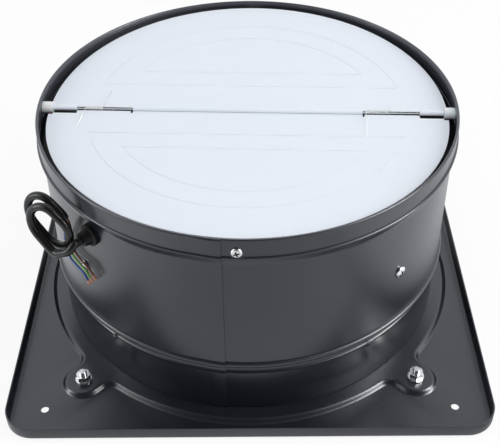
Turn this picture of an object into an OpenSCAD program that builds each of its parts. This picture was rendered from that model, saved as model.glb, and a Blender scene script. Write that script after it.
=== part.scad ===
// Industrial exhaust fan with a square wall plate, a drawn barrel and a spring-closed butterfly shutter.
// The origin is on the duct axis, at the room-side face of the wall plate. +Z points to the outlet.
// Angles round the barrel are counted from the front (-Y) towards +X.

/* [Wall plate] */
// Side of the square wall plate
plate_w = 370; // [360:1:400]
// Sheet thickness of the wall plate
plate_t = 1.2; // [0.8:0.1:1.6]
// Outer radius of the plate's corners
plate_corner_r = 22; // [14:1:30]
// Height of the lip that stands up round the plate
lip_h = 12; // [10:0.5:18]
// Outer bend radius at the foot of the lip
lip_bend_r = 3; // [2:0.5:5]
// Distance between the wall screw holes, along X and along Y
wall_hole_pitch = 315; // [310:1:320]
// Diameter of the wall screw holes
wall_hole_d = 6.2; // [5:0.1:8]
// Height of the pressed disc and lobes over the plate's room-side face
pressing_h = 4.2; // [4.2:0.1:6]
// Radius of the pressed disc
pressing_r = 172; // [169:0.5:174]
// Half width of a pressed lobe and radius of its tip
lobe_r = 16; // [14:0.5:18]
// Radius of the fillets between the lobes and the disc
lobe_fillet_r = 9; // [6:0.5:12]
// Distance from the edge of the pressed disc out to the frame bolts in the lobes
bolt_beyond = 12.7; // [11:0.1:14]
// Bore of the inlet collar
collar_bore_d = 300; // [298:1:304]
// Height of the inlet collar's rim
collar_h = 30; // [24:1:36]

/* [Barrel] */
// Height of the outlet rim over the plate's room-side face
barrel_h = 179; // [177:0.5:186]
// Outer diameter of the barrel
barrel_d = 322; // [321:0.5:324]
// Outer diameter of the neck under the bead
neck_d = 319; // [318:0.5:320]
// Sheet thickness of the barrel
barrel_t = 1; // [0.8:0.1:1.2]
// Turn of the whole barrel on the plate
barrel_turn = -2.5; // [-5:0.5:5]
// Height of the middle of the groove in the bead
groove_z = 48; // [40:1:52]
// Height of the middle of the rib in the bead
rib_z = 55; // [54:0.5:62]
// Height of the band round the outlet
band_h = 17; // [15:0.5:18]
// Angle of the lapped seam
seam_angle = -3.6; // [-12:0.2:-3]

/* [Shutter] */
// Height of the hinge rod's axis under the outlet rim
hinge_drop = 9.5; // [8:0.5:11]
// Diameter of the hinge rod
rod_d = 2.4; // [2:0.1:2.8]
// Gap between the flaps' edge and the inside of the band
flap_gap = 5.7; // [5.5:0.1:7]
// Thickness of the flaps' sheet
flap_t = 1; // [0.8:0.1:1.2]
// Angle at which the closed flaps lie on their stops
flap_rest_angle = 2.4; // [2:0.1:3]

/* [Springs] */
// Wire diameter of the closing springs
spring_wire_d = 0.5; // [0.4:0.05:0.6]
// Number of turns of the left spring
spring_turns_left = 12; // [8:1:14]
// Number of turns of the right spring
spring_turns_right = 14; // [8:1:16]

/* [Impeller] */
// Diameter over the blade tips
impeller_d = 295; // [285:1:296]
// Height of the blades' middle line
blade_z = 26; // [24:0.5:30]
// Thickness of the blades' sheet
blade_t = 1.5; // [1:0.1:2]
// Pitch of the blades to the plate
blade_pitch = 24; // [20:1:26]
// Radius to which the blades are rolled
blade_camber_r = 110; // [100:1:140]
// Number of blades
blade_count = 5; // [4:1:5]

/* [Motor] */
// Diameter of the motor's core
motor_d = 110; // [104:1:112]
// Height of the core's lower face
core_z = 88; // [84:1:92]
// Height of the core
core_h = 34; // [28:1:36]
// Diameter of the shaft
shaft_d = 10; // [9:0.5:12]
// Height of the side screws that hold the bracket
bracket_z = 105.5; // [102:0.5:108]
// Angle of the bracket's arms from the front and from the back
arm_angle = 46; // [44:1:48]

/* [Cord] */
// Diameter of the supply cord
cord_d = 6; // [5:0.5:6]
// Diameter of an insulated core
core_d = 1.8; // [1.4:0.1:2]

/* [Hidden] */
$fn = 96;

// Clearances: a seat, a running fit and a hole round a screw
seat_gap = 0.3;
run_gap = 0.03;
hole_gap = 0.2;

black_paint = [0.1, 0.1, 0.11];
zinc = [0.78, 0.78, 0.76];
steel = [0.6, 0.6, 0.62];
cast_metal = [0.55, 0.55, 0.56];
film_white = [0.88, 0.91, 0.95];
nylon = [0.85, 0.86, 0.84];
rubber = [0.07, 0.07, 0.07];

plate_half = plate_w / 2;
pressing_under = pressing_h - plate_t;
bolt_ring_r = pressing_r + bolt_beyond;
collar_r = collar_bore_d / 2;
collar_bend_r = 3;
wall_r = barrel_d / 2;
neck_r = neck_d / 2;
groove_depth = 2.6;
groove_half = 4.2;
rib_out = 2;
rib_half = 2.4;
band_out = 2;
band_r = wall_r + band_out;
band_inner_r = band_r - barrel_t;
band_z = barrel_h - band_h;
step_h = 5.8;
band_rib_out = 1.2;
band_rib_half = 1.2;
hem_h = 4.6;
foot_inner_r = collar_r + plate_t + collar_bend_r + 0.8;
seam_steps = 3;
seam_step_angle = 2.6;

hinge_z = barrel_h - hinge_drop;
rod_r = rod_d / 2;
knuckle_bore_r = rod_r + 0.06;
knuckle_r = knuckle_bore_r + flap_t;
sheet_bottom = -knuckle_r;
sheet_top = flap_t - knuckle_r;
bush_r = 4.5;
bush_shank_r = 3;
bush_len = 8.4;
bush_outer_x = band_r - barrel_t - seat_gap;
bush_inner_x = bush_outer_x - bush_len;
end_knuckle_x = bush_inner_x - seat_gap;
end_knuckle_len = 18.5;
centre_knuckle_x = 90;
notch_w = 1.6;
flap_r = band_inner_r - flap_gap;
stop_seat_r = flap_r - 4;
stop_top_z = hinge_z + (stop_seat_r - 4) * sin(flap_rest_angle) - knuckle_r - seat_gap;
stop_t = 1;
stop_w = 12;
stop_outer_r = band_inner_r - seat_gap - 0.2;

spring_r = rod_r + 0.2 + spring_wire_d / 2;
spring_leg_lift = spring_wire_d / 2 + 0.15;

impeller_r = impeller_d / 2;
arm_t = 3;
arm_w = 26;
hub_arm_inner = 26;
hub_arm_outer = 80;
rivet_d = 5;
rivet_places = [54, 65, 75];
boss_r = 14;
boss_low = blade_z - 13;
boss_high = blade_z + 14;
blade_root_r = 46;
blade_mid_r = 105;
blade_round_r = 52;
shaft_r = shaft_d / 2;
impeller_nut_h = 6;
shaft_low = boss_low - seat_gap - impeller_nut_h - 1;

motor_r = motor_d / 2;
core_top = core_z + core_h;
bell_h = 22;
bell_wall = 3;
bearing_r = 13;
bearing_h = 9;
rotor_r = 30;
rotor_gap = 0.5;
winding_h = 9;
strap_t = 2.5;
strap_h = 20;
bracket_low = bracket_z - strap_h / 2;
bracket_t = 2.5;
arm_side = 9;
foot_outer_r = wall_r - barrel_t - seat_gap;
foot_t = 2.5;
foot_span = 11;
screw_d = 4;
screw_head_r = 4;
screw_head_h = 2.6;
small_nut_af = 7;
small_nut_h = 3.2;
stop_z = band_z + 2 * band_rib_half + screw_head_r + 0.1;
frame_bolt_d = 6;
frame_hole_d = 6.4;
washer_r = 6.5;
washer_t = 1.2;
nut_af = 10;
nut_h = 5;
guard_wire_d = 1.4;
guard_first_r = 25;
guard_last_r = pressing_r - 7.5;
guard_rings = 12;
guard_step = (guard_last_r - guard_first_r) / (guard_rings - 1);
guard_spokes = 8;
guard_tab_t = 1;
guard_tab_w = 16;
bolt_head_h = 1.7;

capacitor_r = 13;
capacitor_h = 44;
capacitor_at_r = 95;

gland_angle = -41;
gland_z = barrel_h - 34.4;
gland_out = 9;
gland_in = 7;

arm_angles = [arm_angle, 180 - arm_angle, 180 + arm_angle, 360 - arm_angle];
corners = [45, 135, 225, 315];

// Shared shapes

module ring(r_out, r_in, h) {
    difference() {
        cylinder(r = r_out, h = h);
        translate([0, 0, -1]) cylinder(r = r_in, h = h + 2);
    }
}

// Local +Z points out of the barrel at the given angle and height
module at_wall(angle, z) {
    rotate([0, 0, angle]) translate([0, 0, z]) rotate([90, 0, 0]) children();
}

// The barrel and all that it carries is turned on the plate
module on_barrel() {
    rotate([0, 0, barrel_turn]) children();
}

module at_frame_bolts() {
    for (a = corners) rotate([0, 0, a]) translate([bolt_ring_r, 0, 0]) children();
}

// Hexagon nut with chamfered corners and a bore
module hex_nut(across_flats, h, bore_r) {
    corner_r = across_flats / sqrt(3);
    difference() {
        intersection() {
            cylinder(r = corner_r, h = h, $fn = 6);
            rotate_extrude() polygon([
                [0, 0], [corner_r - 0.5, 0], [corner_r, 0.4],
                [corner_r, h - 0.4], [corner_r - 0.5, h], [0, h]
            ]);
        }
        translate([0, 0, -1]) cylinder(r = bore_r, h = h + 2);
    }
}

// Pan head screw with a cross recess. The head's seat is at z = 0 and the shank points down
module pan_screw(length) {
    difference() {
        union() {
            translate([0, 0, -length]) cylinder(d = screw_d, h = length + 0.1);
            intersection() {
                cylinder(r = screw_head_r, h = screw_head_h);
                translate([0, 0, screw_head_h - 6.2]) sphere(r = 6.2);
            }
        }
        for (a = [0, 90])
            rotate([0, 0, a + 20]) translate([-2.2, -0.5, screw_head_h - 1.5]) cube([4.4, 1, 3]);
    }
}

// Tube swept along points, with one ring of sides at each point
function unit(v) = v / norm(v);
function tangent(p, i) = unit(p[min(i + 1, len(p) - 1)] - p[max(i - 1, 0)]);
function side_axes(p, start) = [
    for (
        i = 0, t = tangent(p, 0), x = unit(cross(cross(t, start), t));
        i < len(p);
        i = i + 1, t = tangent(p, min(i, len(p) - 1)), x = unit(x - (x * t) * t)
    ) x
];
module swept_tube(p, r, sides, start) {
    n = len(p);
    axes = side_axes(p, start);
    rings = [
        for (i = [0:n - 1]) for (k = [0:sides - 1])
            p[i] + r * (cos(360 * k / sides) * axes[i]
                + sin(360 * k / sides) * cross(tangent(p, i), axes[i]))
    ];
    walls = [
        for (i = [0:n - 2]) for (k = [0:sides - 1]) for (half = [0, 1])
            let (a = i * sides + k, b = i * sides + (k + 1) % sides)
            half == 0 ? [a, a + sides, b] : [b, a + sides, b + sides]
    ];
    ends = [
        for (k = [1:sides - 2]) each [[0, k, k + 1],
            [(n - 1) * sides, (n - 1) * sides + k + 1, (n - 1) * sides + k]]
    ];
    polyhedron(points = rings, faces = concat(walls, ends));
}

// Wall plate

// Section of the lip with its bent foot, outward along +X from the inner edge of the strip
module lip_section(strip) {
    inner_bend = lip_bend_r - plate_t;
    polygon(concat(
        [[0, 0], [strip - lip_bend_r, 0]],
        [for (a = [-75:15:0]) [strip - lip_bend_r + lip_bend_r * cos(a), lip_bend_r + lip_bend_r * sin(a)]],
        [[strip, lip_h], [strip - plate_t, lip_h]],
        [for (a = [0:-15:-90]) [strip - lip_bend_r + inner_bend * cos(a), lip_bend_r + inner_bend * sin(a)]],
        [[0, plate_t]]
    ));
}

module plate_rim() {
    straight = plate_w - 2 * plate_corner_r;
    for (a = [0:90:270]) rotate([0, 0, a]) {
        translate([plate_half - plate_corner_r, straight / 2, 0]) rotate([90, 0, 0])
            linear_extrude(straight) lip_section(plate_corner_r);
        translate([straight / 2, straight / 2, 0])
            rotate_extrude(angle = 90) lip_section(plate_corner_r);
    }
    translate([-straight / 2, -straight / 2, 0]) cube([straight, straight, plate_t]);
}

// Disc with four lobes. Shrinking it by the sheet gives the hollow on its other side
module pressing(shrink, h) {
    disc_r = pressing_r - shrink;
    tip_r = lobe_r - shrink;
    fillet_r = lobe_fillet_r + shrink;
    along = sqrt(pow(disc_r + fillet_r, 2) - pow(tip_r + fillet_r, 2));
    meet_angle = atan2(tip_r + fillet_r, along);
    linear_extrude(h) {
        circle(r = disc_r, $fn = 180);
        for (a = corners) rotate(a) {
            translate([disc_r / 2, -tip_r]) square([bolt_ring_r - disc_r / 2, 2 * tip_r]);
            translate([bolt_ring_r, 0]) circle(r = tip_r);
            for (s = [0, 1]) mirror([0, s]) difference() {
                polygon([
                    [along, tip_r - 3], [along, tip_r + fillet_r],
                    disc_r * [cos(meet_angle), sin(meet_angle)],
                    (disc_r - 6) * [cos(meet_angle), sin(meet_angle)]
                ]);
                translate([along, tip_r + fillet_r]) circle(r = fillet_r);
            }
        }
    }
}

// Inlet collar turned up from the pressing
module collar() {
    bend_x = collar_r + plate_t + collar_bend_r;
    outer_bend = collar_bend_r + plate_t;
    rotate_extrude($fn = 180) polygon(concat(
        [[bend_x + 1, pressing_under]],
        [for (a = [-90:-15:-180]) [bend_x + outer_bend * cos(a),
            pressing_h + collar_bend_r + outer_bend * sin(a)]],
        [[collar_r, collar_h - 0.6], [collar_r + 0.6, collar_h], [collar_r + plate_t, collar_h]],
        [for (a = [-180:15:-90]) [bend_x + collar_bend_r * cos(a),
            pressing_h + collar_bend_r + collar_bend_r * sin(a)]],
        [[bend_x + 1, pressing_h]]
    ));
}

module mounting_plate() {
    hole_off = wall_hole_pitch / 2;
    color(black_paint) difference() {
        union() {
            difference() {
                union() {
                    plate_rim();
                    pressing(0, pressing_h);
                }
                pressing(plate_t, pressing_under);
                translate([0, 0, -1])
                    cylinder(r = collar_r + plate_t + collar_bend_r, h = pressing_h + 2, $fn = 180);
            }
            collar();
        }
        for (x = [-hole_off, hole_off]) for (y = [-hole_off, hole_off])
            translate([x, y, -1]) cylinder(d = wall_hole_d, h = plate_t + 2);
        at_frame_bolts() translate([0, 0, -1]) cylinder(d = frame_hole_d, h = pressing_h + 2);
    }
}

// Guard, bolts, washers and nuts on the plate

module inlet_guard() {
    ring_z = 0.05 + guard_wire_d / 2;
    spoke_z = ring_z + guard_wire_d + 0.05;
    tab_z = spoke_z + guard_wire_d / 2 - guard_tab_t;
    color(zinc) {
        for (i = [0:guard_rings - 1])
            rotate_extrude() translate([guard_first_r + guard_step * i, ring_z])
                circle(d = guard_wire_d, $fn = 24);
        for (i = [0:guard_spokes - 1]) rotate([0, 0, 45 * i])
            translate([guard_first_r - 3, 0, spoke_z]) rotate([0, 90, 0])
                cylinder(d = guard_wire_d, h = guard_last_r + 5 - guard_first_r, $fn = 24);
        for (a = corners) rotate([0, 0, a]) translate([0, 0, tab_z]) difference() {
            union() {
                translate([guard_last_r + 1, -guard_tab_w / 2 + 2, 0])
                    cube([bolt_ring_r - guard_last_r - 1, guard_tab_w - 4, guard_tab_t]);
                translate([bolt_ring_r, 0, 0]) cylinder(d = guard_tab_w, h = guard_tab_t);
            }
            translate([bolt_ring_r, 0, -1]) cylinder(d = frame_hole_d, h = guard_tab_t + 2);
        }
    }
}

module guard_bolts() {
    head_top = 0.15 + bolt_head_h;
    tip_z = pressing_h + washer_t + nut_h + 3.2;
    color(zinc) at_frame_bolts() rotate_extrude() polygon([
        [0, 0.15], [5.2, 0.15], [6, 0.7], [6, head_top], [frame_bolt_d / 2, head_top],
        [frame_bolt_d / 2, tip_z - 0.7], [frame_bolt_d / 2 - 0.7, tip_z], [0, tip_z]
    ]);
}

module bolt_washers() {
    color(zinc) at_frame_bolts() translate([0, 0, pressing_h])
        ring(washer_r, frame_bolt_d / 2 + hole_gap, washer_t);
}

module bolt_nuts() {
    color(zinc) at_frame_bolts() rotate([0, 0, 12]) translate([0, 0, pressing_h + washer_t])
        hex_nut(nut_af, nut_h, frame_bolt_d / 2 + run_gap);
}

// Barrel

// Outer line of the sheet from the neck to the rim
function barrel_line() = concat(
    [[neck_r, pressing_h + 0.6]],
    [for (a = [0:20:180]) [neck_r - groove_depth * sin(a), groove_z - groove_half * cos(a)]],
    [for (a = [20:20:180]) [wall_r + rib_out * sin(a), rib_z - rib_half * cos(a)]],
    [[wall_r, band_z - step_h]],
    [for (a = [-90:30:90]) [band_r + band_rib_out * cos(a), band_z + band_rib_half + band_rib_half * sin(a)]],
    [[band_r, barrel_h - 0.7]]
);

// Section of the sheet with the foot that seats on the plate and the hem round the rim
module barrel_section() {
    line = barrel_line();
    n = len(line);
    polygon(concat(
        [[foot_inner_r, pressing_h], [neck_r - 0.5, pressing_h]],
        line,
        [
            [band_r - 0.5, barrel_h],
            [band_r - 2 * barrel_t + 0.5, barrel_h],
            [band_r - 2 * barrel_t, barrel_h - 0.7],
            [band_r - 2 * barrel_t, barrel_h - hem_h],
            [band_r - barrel_t, barrel_h - hem_h]
        ],
        [for (i = [n - 2:-1:1]) [line[i][0] - barrel_t, line[i][1]]],
        [[neck_r - barrel_t, pressing_h + barrel_t], [foot_inner_r, pressing_h + barrel_t]]
    ));
}

// Skins of the lapped end, which lie on each other like shingles and stand out less and less from the seam
module lap_section(i) {
    line = barrel_line();
    n = len(line);
    out = barrel_t * (seam_steps + 1 - i) / seam_steps;
    in = barrel_t * (0.3 + 0.1 * i);
    low = line[0][1] + 0.6 + 0.3 * i;
    high = line[n - 1][1] - 0.2 * i;
    polygon(concat(
        [[neck_r + out, low]],
        [for (k = [1:n - 2]) [line[k][0] + out, line[k][1]]],
        [[band_r + out, high], [band_r - in, high]],
        [for (k = [n - 2:-1:1]) [line[k][0] - in, line[k][1]]],
        [[neck_r - in, low]]
    ));
}

module barrel() {
    color(black_paint) on_barrel() difference() {
        union() {
            rotate_extrude($fn = 180) barrel_section();
            for (i = [1:seam_steps])
                rotate([0, 0, -90 + seam_angle - i * seam_step_angle])
                    rotate_extrude(angle = seam_step_angle * (i == 1 ? 1 : 1.5), $fn = 180)
                        lap_section(i);
        }
        for (a = arm_angles) at_wall(a, bracket_z)
            translate([0, 0, neck_r - 20]) cylinder(d = screw_d + 2 * hole_gap, h = 40);
        for (a = [0, 180]) at_wall(a, stop_z)
            translate([0, 0, neck_r - 20]) cylinder(d = screw_d + 2 * hole_gap, h = 40);
        for (a = [90, 270]) at_wall(a, hinge_z)
            translate([0, 0, neck_r - 20]) cylinder(r = bush_shank_r + 0.1, h = 40);
        at_wall(gland_angle, gland_z) translate([0, 0, neck_r - 20]) cylinder(r = 6.2, h = 40);
    }
}

// Motor bracket and its screws

module motor_bracket() {
    bar_length = foot_outer_r - foot_t / 2 - motor_r - strap_t / 2;
    color(black_paint) on_barrel() difference() {
        union() {
            translate([0, 0, bracket_low])
                ring(motor_r + seat_gap + strap_t, motor_r + seat_gap, strap_h);
            for (a = arm_angles) rotate([0, 0, a - 90]) {
                translate([motor_r + strap_t / 2, arm_side - bracket_t / 2, bracket_low])
                    cube([bar_length, bracket_t, strap_h]);
                translate([0, 0, bracket_low]) rotate([0, 0, -foot_span / 2])
                    rotate_extrude(angle = foot_span, $fn = 180)
                        translate([foot_outer_r - foot_t, 0]) square([foot_t, strap_h]);
            }
        }
        for (a = arm_angles) at_wall(a, bracket_z)
            translate([0, 0, foot_outer_r - 20]) cylinder(d = screw_d + 2 * hole_gap, h = 40);
    }
}

module bracket_screws() {
    length = wall_r - foot_outer_r + foot_t + small_nut_h + 3;
    color(zinc) on_barrel() for (a = arm_angles) at_wall(a, bracket_z)
        translate([0, 0, wall_r + 0.1]) pan_screw(length);
}

module bracket_nuts() {
    color(zinc) on_barrel() for (a = arm_angles) at_wall(a, bracket_z)
        translate([0, 0, foot_outer_r - foot_t - small_nut_h - 0.1])
            hex_nut(small_nut_af, small_nut_h, screw_d / 2 + run_gap);
}

// Motor

// End bell from its open edge at z = 0 to its closed face
module end_bell() {
    inner_r = motor_r - bell_wall;
    difference() {
        rotate_extrude() polygon(concat(
            [[0, bell_h], [0, bell_h + 3], [bearing_r + 5, bell_h + 3], [bearing_r + 7, bell_h]],
            [for (a = [90:-15:0]) [motor_r - 8 + 8 * cos(a), bell_h - 8 + 8 * sin(a)]],
            [[motor_r, 0], [inner_r, 0]],
            [for (a = [0:15:90]) [inner_r - 5 + 5 * cos(a), bell_h - bell_wall - 5 + 5 * sin(a)]],
            [
                [bearing_r + 4, bell_h - bell_wall],
                [bearing_r + 4, bell_h + 1 - bearing_h],
                [0, bell_h + 1 - bearing_h]
            ]
        ));
        translate([0, 0, bell_h - bearing_h]) cylinder(r = bearing_r + run_gap, h = bearing_h + 1);
        translate([0, 0, -1]) cylinder(r = shaft_r + 1.5, h = bell_h + 6);
        for (i = [0:11]) rotate([0, 0, 30 * i]) translate([30, 0, bell_h - bell_wall - 1]) {
            translate([0, -2, 0]) cube([12, 4, bell_wall + 3]);
            cylinder(r = 2, h = bell_wall + 3);
            translate([12, 0, 0]) cylinder(r = 2, h = bell_wall + 3);
        }
    }
}

module motor_front_bell() {
    color(cast_metal) translate([0, 0, core_z]) mirror([0, 0, 1]) end_bell();
}

module motor_rear_bell() {
    color(cast_metal) translate([0, 0, core_top]) end_bell();
}

module stator_core() {
    color(steel) translate([0, 0, core_z]) difference() {
        cylinder(r = motor_r, h = core_h);
        translate([0, 0, -1]) cylinder(r = rotor_r + rotor_gap, h = core_h + 2);
        for (i = [1:5]) translate([0, 0, core_h * i / 6 - 0.2]) ring(motor_r + 1, motor_r - 0.4, 0.4);
    }
}

module stator_windings() {
    inner = rotor_r + 4;
    outer = motor_r - bell_wall - 2;
    color([0.6, 0.3, 0.15]) for (side = [0, 1])
        translate([0, 0, side == 0 ? core_z - seat_gap : core_top + seat_gap])
            mirror([0, 0, 1 - side]) rotate_extrude() polygon([
                [inner, 0], [outer, 0], [outer, winding_h - 4], [outer - 4, winding_h],
                [inner + 4, winding_h], [inner, winding_h - 4]
            ]);
}

module bearing_at(z) {
    color(steel) translate([0, 0, z]) difference() {
        cylinder(r = bearing_r, h = bearing_h);
        translate([0, 0, -1]) cylinder(r = shaft_r + run_gap, h = bearing_h + 2);
        for (face = [-1, bearing_h - 0.6]) translate([0, 0, face]) ring(bearing_r - 2, shaft_r + 2, 1.6);
    }
}

module front_bearing() {
    bearing_at(core_z - bell_h);
}

module rear_bearing() {
    bearing_at(core_top + bell_h - bearing_h);
}

// Side of the bracket arm that carries the capacitor
module at_capacitor() {
    on_barrel() rotate([0, 0, 90 - arm_angle])
        translate([capacitor_at_r, arm_side + bracket_t / 2 + capacitor_r + 1.8, bracket_z]) children();
}

module run_capacitor() {
    color([0.86, 0.86, 0.82]) at_capacitor() translate([0, 0, -capacitor_h / 2]) rotate_extrude() polygon([
        [0, 0], [capacitor_r - 1, 0], [capacitor_r, 1], [capacitor_r, capacitor_h - 1],
        [capacitor_r - 1, capacitor_h], [4, capacitor_h], [4, capacitor_h + 3], [0, capacitor_h + 3]
    ]);
}

module capacitor_clip() {
    color(zinc) at_capacitor() translate([0, 0, -4]) difference() {
        union() {
            cylinder(r = capacitor_r + 1.3, h = 8);
            translate([-10, -capacitor_r - 1.5, 0]) cube([20, 2, 8]);
        }
        translate([0, 0, -1]) cylinder(r = capacitor_r + 0.1, h = 10);
    }
}

// Cord

gland_dir = [sin(gland_angle + barrel_turn), -cos(gland_angle + barrel_turn), 0];
gland_nose_r = wall_r + gland_out;
gland_tail_r = wall_r - barrel_t - gland_in;
lead_exit_z = core_top + 13;

module cable_gland() {
    color(rubber) on_barrel() at_wall(gland_angle, gland_z) rotate_extrude() polygon([
        [0, gland_tail_r], [5, gland_tail_r], [8, gland_tail_r + 2], [8, wall_r - barrel_t - 0.6],
        [6, wall_r - barrel_t - 0.6], [6, wall_r + 0.4], [8.5, wall_r + 0.4], [8.5, wall_r + 2.6],
        [6.5, wall_r + 3.4], [5, gland_nose_r], [0, gland_nose_r]
    ]);
}

// Lead between the motor and the gland, inside the barrel
module motor_lead() {
    start_r = motor_r + seat_gap;
    z_drop = gland_z - lead_exit_z;
    span = gland_tail_r - start_r;
    route = [
        for (share = [0, 0.05, 0.15, 0.3, 0.45, 0.6, 0.75, 0.88, 0.95, 1])
            gland_dir * (start_r + span * share)
                + [0, 0, lead_exit_z + z_drop * (1 - cos(180 * min(1, max(0, (share - 0.05) / 0.9)))) / 2]
    ];
    color(rubber) swept_tube(route, 2.5, 8, [0, 0, 1]);
}

// Two loops of the cord, drawn long, that hang together beside the barrel
loop_centre = [-140, -112.9, gland_z + 6.8];
loop_u = unit([-0.67, 0.44, 0.59]);
loop_n = unit(cross(loop_u, cross([-0.45, -0.89, 0.05], loop_u)));
loop_v = cross(loop_n, loop_u);
loop_end_r = 13.5;
loop_straight = 10.5;
loop_pitch = cord_d + 2.2;
loop_drift = [13, 7];
loop_skip = 4;
loop_turn_length = 2 * loop_straight + 2 * PI * loop_end_r;
loop_length = loop_turn_length + loop_straight + PI * loop_end_r + 17;
loop_rings = 40;

// Place along one turn: the outer side, the far end, the inner side, the near end
function loop_place(s) =
    let (t = s % loop_turn_length, half = loop_turn_length / 2, q = t % half)
    let (side = t < half ? 1 : -1)
    let (turned = max(0, q - loop_straight) / loop_end_r * 180 / PI)
    side * [
        min(q, loop_straight) - loop_straight / 2 + loop_end_r * sin(turned),
        loop_end_r * cos(turned)
    ];
function loop_point(s) =
    let (p = loop_place(s), share = s / loop_length - 0.5)
    loop_centre
        + loop_u * (p[0] + loop_drift[0] * share)
        + loop_v * (p[1] + loop_drift[1] * share)
        - loop_n * loop_pitch * (s / loop_turn_length - 0.85);
function loop_dir(s) = unit(loop_point(s + 0.5) - loop_point(s - 0.5));
loops_start = loop_point(loop_skip);
start_dir = loop_dir(loop_skip);
loop_route = concat(
    [loops_start, loops_start + start_dir * cord_d / 2, loops_start + start_dir * cord_d],
    [
        for (i = [2:loop_rings])
            loop_point(loop_skip + (loop_length - loop_skip) * i / loop_rings)
    ]
);
loop_gap = min([
    for (i = [0:loop_rings]) for (j = [i + 6:1:loop_rings])
        norm(loop_route[i] - loop_route[j])
]) - cord_d;
echo(cord_loops_least_gap = loop_gap);

// Free stretch of the cord between the gland and the loops
lead_start = gland_dir * gland_nose_r + [0, 0, gland_z];
lead_route = concat(
    [lead_start, lead_start + gland_dir * 3, lead_start + gland_dir * cord_d],
    [
        for (p = [[-124.8, -130.4, -3.6], [-130.2, -128.4, -7.2], [-135.7, -125.6, -9.9]])
            p + [0, 0, gland_z]
    ],
    [loops_start - start_dir * cord_d, loops_start - start_dir * cord_d / 2, loops_start]
);

module cord_lead() {
    color(rubber) swept_tube(lead_route, cord_d / 2, 12, [0, 0, 1]);
}

module cord_loops() {
    color(rubber) swept_tube(loop_route, cord_d / 2, 6, loop_n);
}

// Three cores that hang from the end of the sheath
sheath_end = loop_route[len(loop_route) - 1];
sheath_dir = unit(sheath_end - loop_route[len(loop_route) - 2]);
core_spread = cord_d / 2 - core_d / 2 - 0.5;

module core(angle, low_points) {
    side = unit(cross(sheath_dir, [0, 0, 1]));
    off = core_spread * (cos(angle) * side + sin(angle) * cross(sheath_dir, side));
    start = sheath_end + off;
    hanging = [for (p = low_points) p + [0, 0, gland_z]];
    swept_tube(concat([start, start + sheath_dir * 2], hanging), core_d / 2, 8, [1, 0, 0]);
}

module core_brown() {
    color([0.35, 0.2, 0.1]) core(260, [
        [-126.7, -108.3, -0.1], [-127.2, -106.1, -8.3], [-128.5, -102.9, -17.9],
        [-128.5, -102.2, -26.6], [-126.1, -105.8, -29.8], [-120.6, -112.9, -31],
        [-115.8, -118.5, -32.2], [-112.7, -121.1, -35.9]
    ]);
}

module core_blue() {
    color([0.1, 0.3, 0.6]) core(20, [
        [-132.3, -102.4, -5.4], [-134.4, -96.7, -16.5], [-136.3, -92.3, -27.3],
        [-136.5, -91.3, -38.2], [-133.3, -96.6, -42.1], [-126.1, -106.7, -41.7],
        [-121, -113.2, -42.1], [-118.6, -115.2, -46.8]
    ]);
}

module core_earth() {
    color([0.6, 0.7, 0.15]) core(140, [
        [-129, -106.3, -1.8], [-130.7, -101.7, -12.1], [-132.3, -98, -22.3],
        [-132.4, -97.2, -32], [-129.6, -101.5, -35.7], [-123.3, -109.9, -36.2],
        [-118.4, -116, -37], [-115.7, -118.2, -41.3]
    ]);
}

// Shutter

module at_hinge() {
    on_barrel() translate([0, 0, hinge_z]) children();
}

module hinge_rod() {
    half = band_r + 0.6;
    color(zinc) at_hinge() translate([-half, 0, 0]) rotate([0, 90, 0]) cylinder(r = rod_r, h = 2 * half);
}

module rod_bushes() {
    color(nylon) at_hinge() for (s = [0, 1]) mirror([s, 0, 0]) translate([bush_inner_x, 0, 0])
        rotate([0, 90, 0]) difference() {
            union() {
                cylinder(r = bush_r, h = bush_len);
                cylinder(r = bush_shank_r, h = band_r - bush_inner_x);
            }
            translate([0, 0, -1]) cylinder(r = rod_r + run_gap, h = bush_len + 10);
        }
}

// Bent clips inside the band, on which the closed flaps lie
module flap_stops() {
    color(zinc) on_barrel() for (a = [0, 180]) rotate([0, 0, a]) difference() {
        union() {
            translate([-stop_w / 2, -stop_outer_r, stop_z - 5])
                cube([stop_w, stop_t, stop_top_z - stop_z + 5]);
            translate([-stop_w / 2, -stop_outer_r, stop_top_z - stop_t])
                cube([stop_w, stop_outer_r - stop_seat_r + 5, stop_t]);
        }
        translate([0, 0, stop_z]) rotate([90, 0, 0]) cylinder(d = screw_d + 2 * hole_gap, h = wall_r + 10);
    }
}

module stop_screws() {
    length = band_r - stop_outer_r + stop_t + small_nut_h + 2;
    color(zinc) on_barrel() for (a = [0, 180]) at_wall(a, stop_z)
        translate([0, 0, band_r + 0.1]) pan_screw(length);
}

module stop_nuts() {
    color(zinc) on_barrel() for (a = [0, 180]) at_wall(a, stop_z)
        translate([0, 0, stop_outer_r - stop_t - small_nut_h - 0.1])
            hex_nut(small_nut_af, small_nut_h, screw_d / 2 + run_gap);
}

// Closing spring round the rod with a straight leg on each flap
function spring_route(x0, x1, turns, front_tip, back_tip) = concat(
    [front_tip],
    [for (i = [0:8 * turns])
        let (a = 360 * i / 8)
        [x0 + (x1 - x0) * i / (8 * turns), -spring_r * sin(a), spring_r * cos(a)]],
    [back_tip]
);
function leg_height(y) = sheet_top + abs(y) * tan(flap_rest_angle) + spring_leg_lift;

module torsion_spring(x0, x1, turns, front_x, front_y, back_x, back_y) {
    route = spring_route(x0, x1, turns,
        [front_x, -front_y, leg_height(front_y)], [back_x, back_y, leg_height(back_y)]);
    color(zinc) at_hinge() swept_tube(route, spring_wire_d / 2, 6, [1, 0, 0]);
}

module torsion_spring_left() {
    torsion_spring(-127, -113.5, spring_turns_left, -130.2, 26, -110.6, 24);
}

module torsion_spring_right() {
    torsion_spring(92.6, 110.8, spring_turns_right, 91.6, 32, 111.5, 16);
}

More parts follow.
